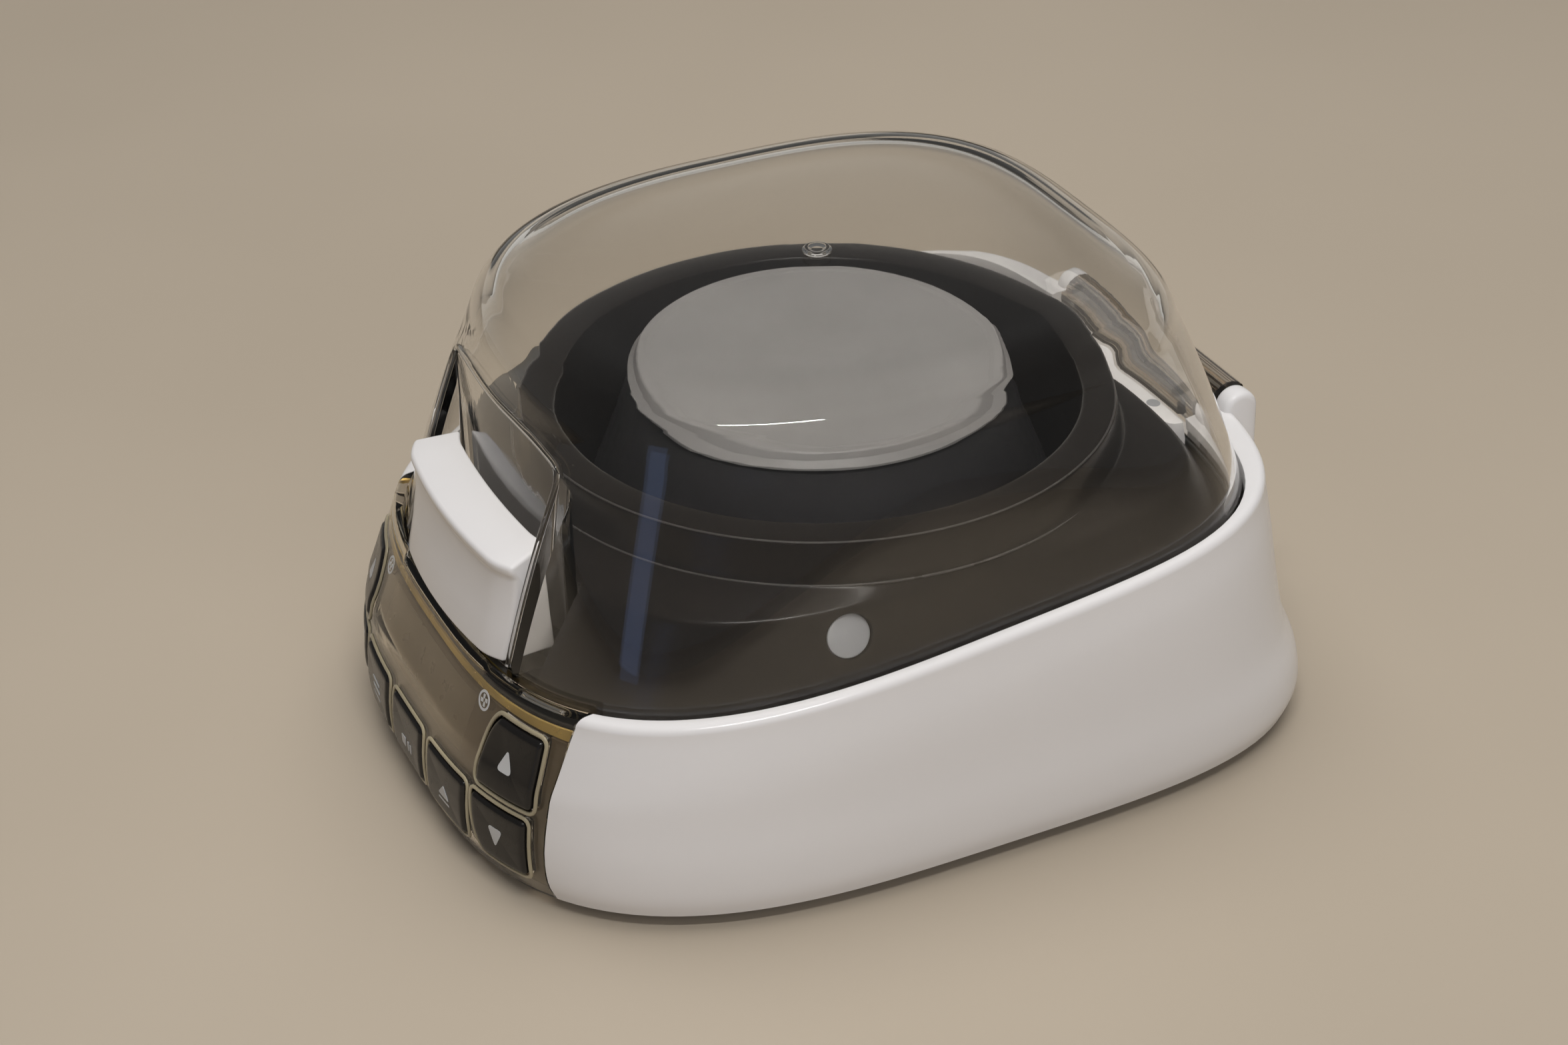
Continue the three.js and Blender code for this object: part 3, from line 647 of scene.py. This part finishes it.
def spaced(outline, count):
    """A closed outline walked in equal steps, anticlockwise."""
    p = np.array(outline + [outline[0]], float)
    run = np.concatenate([[0], np.cumsum(np.hypot(*np.diff(p, axis=0).T))])
    u = np.linspace(0, run[-1], count, endpoint=False)
    ring = np.stack([np.interp(u, run, p[:, 0]), np.interp(u, run, p[:, 1])], 1)
    area = np.sum(ring[:, 0] * np.roll(ring[:, 1], -1) - np.roll(ring[:, 0], -1) * ring[:, 1])
    return ring if area > 0 else ring[::-1]


def offset(ring, distance):
    """An outline moved outwards by a small distance."""
    along = np.roll(ring, -1, axis=0) - np.roll(ring, 1, axis=0)
    along /= np.linalg.norm(along, axis=1, keepdims=True) + 1e-9
    return ring + np.stack([along[:, 1], -along[:, 0]], 1) * distance


def key_frame(key):
    """A key's middle at Z = 0, and the directions across it and into the panel."""
    x, (z0, z1), _, turn, _ = KEYS[key]
    a = math.radians(turn)
    start = np.array([x, panel_y(x, (z0 + z1) / 2), 0.0])
    across = np.array([math.cos(a), -math.sin(a), 0.0])
    inward = np.array([math.sin(a), math.cos(a), 0.0])
    return start, across, inward


def on_panel(key, ring, proud):
    """The outline's points on the panel, each lifted off it by proud."""
    start, across, inward = key_frame(key)
    lift = np.broadcast_to(np.asarray(proud, float), (len(ring),))
    out = []
    for (u, w), h in zip(ring, lift):
        p = start + across * u + np.array([0, 0, w])
        hit = SURFACE.ray_cast(Vector(p - inward * 60), Vector(inward))[0]
        base = np.array(hit) if hit is not None else p
        out.append(base - inward * h)
    return np.array(out)


def key_prism(key):
    """What is cut out of the panel for a key."""
    start, across, inward = key_frame(key)
    outline = key_outline(key, KEY_GAP)
    rows = []
    for s in (-20, 24):
        rows.append(np.array([start + across * u + inward * s + (0, 0, w) for u, w in outline]))
    return skin("c", rows)


def patch(name, key, ring, lift, centre=None):
    """A thin printed mark that lies on a key or on the panel."""
    middle = ring.mean(axis=0) if centre is None else np.array(centre)
    rows = [on_panel(key, ring, lift - 0.3), on_panel(key, ring, lift)]
    for share in (0.75, 0.5, 0.25, 0.04):
        rows.append(on_panel(key, middle + (ring - middle) * share, lift))
    return skin(name, rows)


def key_cap(key):
    """A key with a rolled edge and a shallow dish in its face."""
    ring = key_outline(key, 0)
    rows = [on_panel(key, ring, -7), on_panel(key, ring, 0.0)]
    for k in range(0, 6):
        a = math.radians(90 * k / 5)
        edge = offset(ring, -KEY_EDGE * (1 - math.cos(a)))
        rows.append(on_panel(key, edge, KEY_PROUD - KEY_EDGE * (1 - math.sin(a))))
    inner = offset(ring, -KEY_EDGE)
    middle = inner.mean(axis=0)
    for share in (0.93, 0.85, 0.7, 0.5, 0.3, 0.04):
        dip = KEY_DISH * (1 - share**2) ** 1.5
        rows.append(on_panel(key, middle + (inner - middle) * share, KEY_PROUD - dip))
    done(skin(f"cap_{key}", rows), "keys", f"key_{key}", f"key_{key}", sharp=60)


def key_rim(key):
    """The window's own raised clear edge round a key, given a pale opaque colour that paints the highlights
    on the clear edge.
    """
    outline = key_outline(key, KEY_GAP)
    rows = []
    for k in range(10):
        a = 2 * math.pi * k / 10
        rows.append(on_panel(key, offset(outline, 0.62 + 0.5 * math.cos(a)), 0.12 + 0.42 * math.sin(a)))
    # the rows run round the section, so they close on themselves
    done(skin(f"window_rim_{key}", rows, looped=True), "rim", "base", sharp=80)


def marks():
    """Plain arrows on the four outer keys and simple signs on the others."""
    for key, up in (("right_up", 1), ("right_down", -1), ("left_up", 1), ("left_down", -1)):
        z0, z1 = KEYS[key][1]
        mid = (z0 + z1) / 2 + (0.2 if up > 0 else -0.4)
        tri = [(-2.6, mid - up * 2.5, 0.9), (2.6, mid - up * 2.5, 0.9), (0, mid + up * 2.9, 0.5)]
        ring = spaced(rounded(tri), 48)
        done(patch(f"arrow_{key}", key, ring, 0.78, (0, mid - up * 0.6)), "print", f"key_{key}", sharp=60)
    signs = {
        "program": [(-3, 13.2, 3, 13.9), (-3, 15.4, 3, 16.1), (-3, 17.6, 3, 18.3)],
        "start_stop": [(-3.2, 13.4, -0.6, 16), (0.8, 13.4, 1.7, 16), (2.4, 13.4, 3.3, 16)],
        "open": [(-2.8, 12.9, 2.8, 13.7)],
    }
    for key, bars in signs.items():
        for i, (a, b, c, d) in enumerate(bars):
            ring = spaced(rounded([(a, b, 0.2), (c, b, 0.2), (c, d, 0.2), (a, d, 0.2)]), 32)
            done(patch(f"sign_{key}_{i + 1}", key, ring, 0.82), "print", f"key_{key}", sharp=60)
    ring = spaced(rounded([(-2.8, 14.6, 0.3), (2.8, 14.6, 0.3), (0, 17.9, 0.3)]), 36)
    done(patch("sign_open_2", "open", ring, 0.8, (0, 15.6)), "print", "key_open", sharp=60)


def rotor_sign(side):
    """A small printed ring with four blades above a pair of arrow keys."""
    key = f"{side}_up"
    t = 1 if side == "right" else -1
    cu, cw = -12.9 * t, 45.2
    a = np.linspace(0, 2 * math.pi, 40, endpoint=False)
    outer = np.stack([cu + 2.3 * np.cos(a), cw + 2.3 * np.sin(a)], 1)
    inner = np.stack([cu + 1.75 * np.cos(a), cw + 1.75 * np.sin(a)], 1)
    rows = [on_panel(key, outer, h) for h in (-0.1, 0.05)] + [on_panel(key, inner, h) for h in (0.05, -0.1)]
    done(skin(f"sign_ring_{side}", rows, looped=True), "print", "base", sharp=60)
    for i in range(4):
        c, s = math.cos(math.pi * i / 2 + 0.4), math.sin(math.pi * i / 2 + 0.4)
        pts = [(0.35, -0.2), (1.2, -0.65), (1.45, 0.1), (0.5, 0.35)]
        ring = spaced([(cu + u * c - v * s, cw + u * s + v * c) for u, v in pts], 24)
        done(patch(f"sign_blade_{side}_{i + 1}", key, ring, 0.05), "print", "base", sharp=60)


def layer(name, d0, d1, z0, z1, half):
    """A sheet that follows the panel's curve, from d0 to d1 behind its face."""
    ob = skin(name, wall_rows(d0) + wall_rows(d1)[::-1], looped=True)
    return common(ob, block("c", -half, half, -130, -50, z0, z1))


def panel():
    half = PANEL_HALF - PANEL_GAP
    inner_half = half - PANEL_GAP
    cover = skin("panel_window", shell_rows(WINDOW_WALL), looped=True)
    cover = common(cover, block("c", -half, half, -130, -50, 0, 90))
    foil = layer("panel_foil", 2.8, 4.4, 6.4, 45, inner_half)
    for key in KEYS:
        cover = cut(cover, key_prism(key))
        foil = cut(foil, key_prism(key))
    foil = cut(foil, block("c", -27.2, 27.2, -130, -80, 28.3, 43.2))
    done(cover, "window", "base", "panel_cover")
    done(foil, "foil", "base", "panel_backing")
    pane = layer("display_pane", 2.8, 4.4, 28.4, 43.1, 27.1)
    done(pane, "display", "base", "display_window")
    # a golden sheet behind the clear top band paints the glints seen there
    band = layer("panel_painted_reflection_band", 3.2, 3.9, 45.3, 60, inner_half)
    done(band, "painted_reflection", "base")
    for key in KEYS:
        key_cap(key)
        key_rim(key)
    marks()
    rotor_sign("right")
    rotor_sign("left")


# ---- chamber deck ----
def notch_back(x, half):
    """The bowed back edge of the recess."""
    return NOTCH_BACK + NOTCH_BOW * (x / half) ** 2


def notch(grow, z0, corner):
    """The recess under the lid's handle as a solid, from z0 up, with its sides moved out by grow."""
    half = NOTCH_HALF + grow
    points = [(-half, -130), (half, -130)]
    for i in range(33):
        x = half - 2 * half * i / 32
        points.append((x, notch_back(x, half) + grow, corner if i in (0, 32) else 0))
    return prism("c", rounded(points), z0, 150)


def shroud_block(z0, z1, y0=76.6):
    return block("c", -SHROUD_CUT, SHROUD_CUT, y0, 100, z0, z1)


def thread(name, line, r, trimmed):
    """A fine round line along a closed outline, lighter than the deck, that paints the highlight on a step
    edge; trimmed where the hinge cover stands.
    """
    turns = [math.pi * k / 4 for k in range(8)]
    up = np.array([0, 0, 1.0])
    rows = []
    for i, point in enumerate(line):
        along = line[(i + 1) % len(line)] - line[i - 1]
        along = along / np.linalg.norm(along)
        out = np.cross(along, up)
        rows.append(np.array([point + out * r * math.cos(a) + up * r * math.sin(a) for a in turns]))
    ob = skin(name, rows, looped=True)
    ob = cut(ob, notch(*DECK_NOTCH))
    if trimmed:
        ob = cut(ob, shroud_block(66.9, 100, 70))
    done(ob, "deck_step_highlight", "base", sharp=80)


def shelf(inset, dz):
    """The edge of the step between the deck's skirt and the ring round the bowl."""
    return plan(75.3 - inset, -83 + inset, 76.5 - inset, 2.9, 4.2, AXIS_Y, lambda y: 74.5 + 0.03 * y + dz)


def deck_moulding():
    def flange(dz):
        return lid_plan(84.2, -101.1, 88.2, on_rim(dz))

    foot = lid_plan(80, -96.6, 84, on_rim(-6.2))
    upper = [
        (flange(-8.4), 0),
        (flange(-6.2), 0.4),
        (foot, 0.6),
        (shelf(0, 0), 1.2),
        (circle(74.6, 77), 1.4),
        (circle(72.6, 87.1), 1.0),
        (circle(64, 87.4), 1.4),
        (circle(60.5, 46.5), 2),
        (circle(57.5, 42.5), 1),
        (circle(10.5, 42), 0),
        (circle(10.5, 39.8), 0),
    ]
    lower = [
        (circle(58, 40.2), 0),
        (circle(62.8, 45.5), 0),
        (circle(64.7, 84.2), 0),
        (circle(70.8, 84.6), 0),
        (circle(72.4, 75.2), 0),
        (shelf(4.2, -2.4), 0),
        (lid_plan(77.8, -94.2, 81.8, on_rim(-8.4)), 0),
    ]
    made = skin("deck_moulding", eased(upper + lower, looped=True), looped=True)
    filled = skin("c", eased(upper, looped=False))
    pocket = cut(common(filled, notch(5.2, 45.4, 5)), notch(*DECK_NOTCH))
    made = join(cut(made, notch(*DECK_NOTCH)), pocket)
    made = cut(made, shroud_block(66.9, 100))
    return cut(made, plug_bar("c", 5.5, -12, 12))


def shroud():
    """The white cover in front of the hinge, with two plugged holes."""
    within = skin(
        "c",
        [
            lid_plan(80, -96.6, 83.6, 60),
            lid_plan(80, -96.6, 83.6, 69.5),
            lid_plan(79, -96, 81.8, 80),
        ],
    )
    half = SHROUD_HALF
    outline = rounded([(-half, 77.1, 5), (half, 77.1, 5), (half, 95), (-half, 95)])
    cover = bevelled(common(prism("hinge_shroud", outline, 67.3, SHROUD_TOP), within), 0.9)
    done(cover, "white", "base", "hinge_cover")
    low, high = SHROUD_TOP - 0.2, SHROUD_TOP + 0.1
    for side, x in (("l", -26), ("r", 26)):
        dot = lathe(f"shroud_dimple_{side}", [(0, low), (1.9, low), (1.9, high), (0, high)], 32, x, 80.6)
        done(dot, "grey", "base")


def gasket():
    rows = []
    for inset, dz in ((0, -5.8), (0, -4.8), (1.8, -4.8), (1.8, -5.8)):
        rows.append((lid_plan(83.2 - inset, -100 + inset, 87.2 - inset, on_rim(dz)), 0.3))
    done(skin("lid_gasket", eased(rows, looped=True), looped=True), "rubber", "base", "rim_gasket")


def deck():
    made = deck_moulding()
    # lighter lines along the deck's three step edges: painted highlights
    edges = ((circle(72.25, 86.75), False), (circle(74.95, 76.9), False), (shelf(0.5, -0.35), True))
    for i, (line, trimmed) in enumerate(edges):
        thread(f"deck_step_highlight_line_{i + 1}", line, 0.3, trimmed)
    done(made, "deck", "base", "chamber_deck", sharp=38)
    plug = bevelled(plug_bar("deck_plug_cap", 5.3, -2, 0.75), 0.35)
    done(plug, "grey", "base", "deck_plug", sharp=50)
    shroud()
    gasket()


def plug_bar(name, r, d0, d1):
    """A round bar along the plug's axis, from d0 to d1: the plug itself or the hole for it."""
    x, y, z, lean = PLUG
    ring = [np.array([math.cos(a), math.sin(a)]) * r for a in np.linspace(0, 2 * math.pi, 64, endpoint=False)]
    b = math.radians(lean)
    out = np.array([math.cos(b), 0, math.sin(b)])
    tall = np.array([-math.sin(b), 0, math.cos(b)])
    side = np.array([0, 1.0, 0])
    rows = []
    for d in (d0, d1):
        middle = np.array([x, y, z]) + out * d
        rows.append(np.array([middle + side * p[0] + tall * p[1] for p in ring]))
    return skin(name, rows)


# ---- lid ----
def lid_row(t, inset):
    """The wall of the dome at t of the way from the rim to the shoulder."""
    swell = 1.1 * math.sin(math.pi * t)
    side = LID[0] + (SHOULDER[0] - LID[0]) * t + swell - inset
    front = LID[1] + (SHOULDER[1] - LID[1]) * t - swell + inset
    back = LID[2] + (SHOULDER[2] - LID[2]) * t + swell - inset

    def height(y):
        low = RIM_Z + RIM_RISE * y
        return low + (SHOULDER[3] - inset * 0.9 - low) * t

    return plan(side, front, back, LID_POWERS[0] - 0.5 * t, LID_POWERS[1] - 1.3 * t, AXIS_Y, height)


def roof_row(share, z):
    return plan(SHOULDER[0] * share, SHOULDER[1] * share, SHOULDER[2] * share, 2.4, 3.2, AXIS_Y, z)


def lid_rows(inset, lean):
    """The dome from its lip to the middle of its roof. The lip's edge leans in by lean."""

    def lip(grow, dz):
        return lid_plan(LID[0] + grow, LID[1] - grow, LID[2] + grow, on_rim(dz))

    sink = inset * 0.96
    z = SHOULDER[3]
    top = [
        lid_row(0.8, inset),
        lid_row(0.93, inset),
        roof_row(0.985 - inset / 90, z - 1.2 - sink),
        roof_row(0.94 - inset / 90, z + 0.4 - sink),
        roof_row(0.72, z + 1.7 - sink),
        roof_row(0.4, z + 2.7 - sink),
        roof_row(0.06, z + 3 - sink),
    ]
    wall = [lid_row(t, inset) for t in np.linspace(0, 0.76, 14)]
    return [lip(-lean - inset, LIP_DROP), lip(-inset, -0.4)] + wall[1:] + smooth(top, 6)


def lid_sheet():
    """The rows down the dome's outside to its lip, and from there up its inside."""
    outside = [(row, 0) for row in lid_rows(0, 0.7)[::-1]]
    inside = [(row, 0) for row in lid_rows(LID_WALL, 0.24)]
    outside[-1] = (outside[-1][0], LIP_ROUND)
    inside[0] = (inside[0][0], LIP_ROUND)
    return outside, inside


def lid_filled():
    """The dome without its hollow."""
    outside, inside = lid_sheet()
    return skin("c", eased(outside + inside[:1]))


def bead():
    """The thickened edge that follows the lid's skin around the latch recess."""
    form = lid_filled()
    mesh = form.data
    dome = BVHTree.FromPolygons([v.co for v in mesh.vertices], [p.vertices for p in mesh.polygons])
    bpy.data.objects.remove(form)
    down_the_side = np.linspace(-82.6, -98.6, 22)
    across = np.linspace(-NOTCH_HALF + 0.8, NOTCH_HALF - 0.8, 50)
    plan_line = [(-NOTCH_HALF, y) for y in down_the_side[::-1]]
    plan_line += [(x, notch_back(x, NOTCH_HALF)) for x in across]
    plan_line += [(NOTCH_HALF, y) for y in down_the_side]
    path = []
    for x, y in plan_line:
        hit = dome.ray_cast(Vector((x, y, 140)), Vector((0, 0, -1)))[0]
        if hit is not None:
            path.append(np.array(hit))
    for _ in range(3):
        calmed = [(a + 2 * b + c) / 4 for a, b, c in zip(path, path[1:], path[2:])]
        path = [path[0]] + calmed + [path[-1]]
    ring = np.linspace(0, 2 * math.pi, 14, endpoint=False)
    rows = []
    for i, point in enumerate(path):
        along = path[min(i + 1, len(path) - 1)] - path[max(i - 1, 0)]
        along = along / np.linalg.norm(along)
        out = np.array([0, -0.9, 0.43])
        out = out - along * (out @ along)
        out = out / np.linalg.norm(out)
        aside = np.cross(along, out)
        rows.append(np.array([point + (out * math.cos(a) + aside * math.sin(a)) * 0.85 for a in ring]))
    done(skin("recess_bead", rows), "lid", "lid", sharp=60)


def gate_mark():
    """The round mark on the roof where the plastic went into its mould."""
    profile = [
        (0, 123.02),
        (3.6, 123.02, 0.2),
        (3.6, 123.5, 0.3),
        (3.0, 124, 0.3),
        (2.2, 123.95, 0.3),
        (1.4, 123.5, 0.4),
        (0, 123.45),
    ]
    done(lathe("lid_gate_mark", rounded(profile, False), 48), "lid", "lid", sharp=60)


def hinge_barrel():
    """The finely fluted barrel behind the lid, its web, and the hole for the pin."""
    outline = []
    for k in range(144):
        a = 2 * math.pi * k / 144
        r = BARREL_R - 0.2 * (0.5 - 0.5 * math.cos(18 * a))
        outline.append((HINGE_Y + r * math.cos(a), HINGE_Z + r * math.sin(a)))
    barrel = bar("hinge_barrel", outline, -BARREL_HALF, BARREL_HALF)
    barrel = join(barrel, block("c", -29, 29, 88.6, HINGE_Y, HINGE_Z - 1.4, HINGE_Z + 2.4))
    turns = np.linspace(0, 2 * math.pi, 24, endpoint=False)
    hole = [(HINGE_Y + PIN_R * math.cos(a), HINGE_Z + PIN_R * math.sin(a)) for a in turns]
    done(cut(barrel, bar("c", hole, -40, 40)), "hinge_clear", "lid", sharp=40)


def lid():
    outside, inside = lid_sheet()
    shell = skin("lid_shell", eased(outside + inside))
    pocket = common(lid_filled(), notch(2.3, NOTCH_FLOOR - 2.3, 3.6))
    shell = cut(join(shell, pocket), notch(0, NOTCH_FLOOR, 2.2))
    shell = bevelled(shell, 0.7, 3, 48)
    done(shell, "lid", "lid", "lid_dome", sharp=40)
    bead()
    gate_mark()
    hinge_barrel()


def handle():
    """The white block in the recess, bowed forwards, with a small overhang and ends that curl back."""
    rows = []
    for i in range(-28, 29):
        s = i / 28
        bow = 3.2 * (1 - s * s) - 2.2 * max(0.0, (abs(s) - 0.76) / 0.24) ** 2
        section = [
            (s * 31, -100.4 - bow, 53.2),
            (s * 31.7, -98.1 - bow, 62),
            (s * 32.1, -96.6 - bow, 70),
            (s * 32.3, -96.1 - bow, 75.4),
            (s * 32.5, -97.2 - bow, 77.2),
            (s * 32.5, -97.0 - bow, 79.0),
            (s * 28.4, -85.6 - 0.55 * bow, 81),
            (s * 29.6, -85.2 - 0.55 * bow, 53.2),
        ]
        rows.append(np.array(section))
    ob = bevelled(skin("handle_block", rows), 0.9, 4, 25)
    done(ob, "white", "lid", "lid_handle", sharp=50)


# ---- rotor ----
def tube_hole(i):
    """The inside of the rotor's hole number i, which leans outwards at 45 degrees."""
    a = 2 * math.pi * i / 12
    flat = np.array([math.cos(a), math.sin(a), 0])
    axis = np.array([flat[0], flat[1], -1]) / math.sqrt(2)
    side = np.array([-flat[1], flat[0], 0])
    other = np.cross(axis, side)
    start = flat * 28.5 + (0, AXIS_Y, 76)
    ring = np.linspace(0, 2 * math.pi, 40, endpoint=False)
    rows = [
        np.array([start + axis * d + (side * math.cos(b) + other * math.sin(b)) * r for b in ring])
        for d, r in ((-17, 5.6), (26, 5.6), (31, 4.6), (33, 2.5))
    ]
    return skin("c", rows)


def rotor():
    profile = [
        (3.3, 48),
        (9, 46, 1),
        (44, 46, 2),
        (55, 53, 2),
        (57, 58, 3),
        (56.4, 64, 3),
        (46.2, 89, 0.6),
        (45.2, 90, 0.6),
        (40.5, 90, 0.8),
        (19, 68.5, 1.5),
        (9.5, 67.5, 0.5),
        (9, 66),
        (3.3, 66),
    ]
    made = lathe("rotor_moulding", rounded(profile))
    for i in range(12):
        made = cut(made, tube_hole(i))
    done(made, "rotor", "rotor", "rotor_body")
    cap = [
        (0, 94.35),
        (30, 94.4),
        (41.5, 94.4, 0.6),
        (42.6, 94.6, 0.5),
        (44.6, 94.6, 0.9),
        (45.4, 92.6, 0.8),
        (46.9, 90.9, 0.3),
        (46.9, 90.2, 0.2),
        (44.2, 90.3),
        (43.6, 92.8),
        (0, 92.9),
    ]
    done(lathe("rotor_cap", rounded(cap, False), 144), "cap", "rotor_cap", "rotor_cover", sharp=50)


# ---- feet, and the CAD pieces that stay ----
def feet():
    """A dished pad with a stem under each corner, where the frame has its foot."""
    profile = [
        (0, 0.5),
        (5, 0.4, 0.5),
        (6.2, 0, 0.4),
        (8, 0, 0.7),
        (9, 3.7, 0.3),
        (2.5, 3.7),
        (2.5, 9),
        (0, 9),
    ]
    for i in range(1, 5):
        low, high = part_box(f"foot_{i}")
        x, y = (low.x + high.x) * 500, (low.y + high.y) * 500
        done(lathe(f"foot_pad_{i}", rounded(profile, False), 48, x, y), "rubber", "base", f"foot_{i}")


CARRIED = ("steel", "copper", "board", "rubber", "black", "grey")


def carried_over():
    """The frame's own pieces get the looks of their slots. The rocker is a black part in the keys' slot."""
    for part in frame["record"]["subparts"]:
        slot = part["material_slot"]
        look = "black" if slot == "keys" else slot
        if look in CARRIED:
            materials = nodes[part["node"]].data.materials
            materials.clear()
            materials.append(MAT[look])


# ---- floor and light ----
FLOOR_HALF = 4
FLOOR_TONES = ((0.43, 0.365, 0.285), (0.47, 0.40, 0.315))
SKY_TONES = ((0.11, 0.11, 0.11), (0.62, 0.60, 0.56))
SKY_WAY = (-0.7, 0.35, -1.0)  # the side of the world that is the lighter one
WARM = (1, 0.985, 0.965)
NEUTRAL = (1, 1, 1)
COOL = (0.98, 0.98, 1)
WINDOW_BLUE = (0.36, 0.52, 1)


def lay_floor():
    h = FLOOR_HALF
    mesh = bpy.data.meshes.new("floor")
    mesh.from_pydata([(-h, -h, 0), (h, -h, 0), (h, h, 0), (-h, h, 0)], [], [(0, 1, 2, 3)])
    ob = bpy.data.objects.new("floor", mesh)
    scene.collection.objects.link(ob)
    mat, nt, bsdf = tree("pale floor")
    nt.links.new(ramp(nt, noise(nt, 3, 3), *FLOOR_TONES), bsdf.inputs["Base Color"])
    bsdf.inputs["Roughness"].default_value = 0.6
    mesh.materials.append(mat)


def lamp(name, place, aim, size, power, colour, mirrored=True, along=None):
    """An area lamp. along is the direction of its first side; mirrored lamps are seen in reflections."""
    data = bpy.data.lights.new(name, "AREA")
    data.shape = "RECTANGLE"
    data.size, data.size_y = size
    data.energy = power
    data.color = colour
    light = bpy.data.objects.new(name, data)
    way = Vector(aim) - Vector(place)
    light.rotation_euler = way.to_track_quat("-Z", "Y").to_euler()
    if along is not None:
        z = -way.normalized()
        x = (Vector(along) - z * z.dot(Vector(along))).normalized()
        light.rotation_euler = Matrix((x, z.cross(x), z)).transposed().to_euler()
    light.location = place
    light.visible_glossy = mirrored
    light.visible_transmission = mirrored
    scene.collection.objects.link(light)


def sky():
    world = bpy.data.worlds.new("studio")
    world.use_nodes = True
    nt = world.node_tree
    back = nt.nodes["Background"]
    look = nt.nodes.new("ShaderNodeTexCoord")
    facing = nt.nodes.new("ShaderNodeVectorMath")
    facing.operation = "DOT_PRODUCT"
    facing.inputs[1].default_value = SKY_WAY
    nt.links.new(look.outputs["Generated"], facing.inputs[0])
    nt.links.new(ramp(nt, facing.outputs["Value"], *SKY_TONES, 0.25, 0.75), back.inputs["Color"])
    back.inputs["Strength"].default_value = 1.0
    scene.world = world


def stage():
    lay_floor()
    lamp("soft_top", (-0.3, 0.1, 1.9), (0, 0, 0), (2.2, 1.8), 27, WARM, False)
    lamp("tube", (0.58, -0.23, 1.17), (0, 0, 0.05), (0.6, 0.03), 5, NEUTRAL, along=(0.37, 0.93, 0))
    lamp("window_strip", (0.6, -1.2, 0.22), (0.05, -0.06, 0.09), (0.2, 0.42), 0.16, WINDOW_BLUE)
    lamp("side_fill", (1.6, -0.2, 0.9), (0, 0, 0.05), (1.2, 1.0), 8.5, COOL, False)
    sky()
    scene.view_settings.view_transform = "Standard"


camera()
stage()
housing()
panel()
deck()
lid()
handle()
rotor()
feet()
carried_over()
bpy.context.view_layer.update()
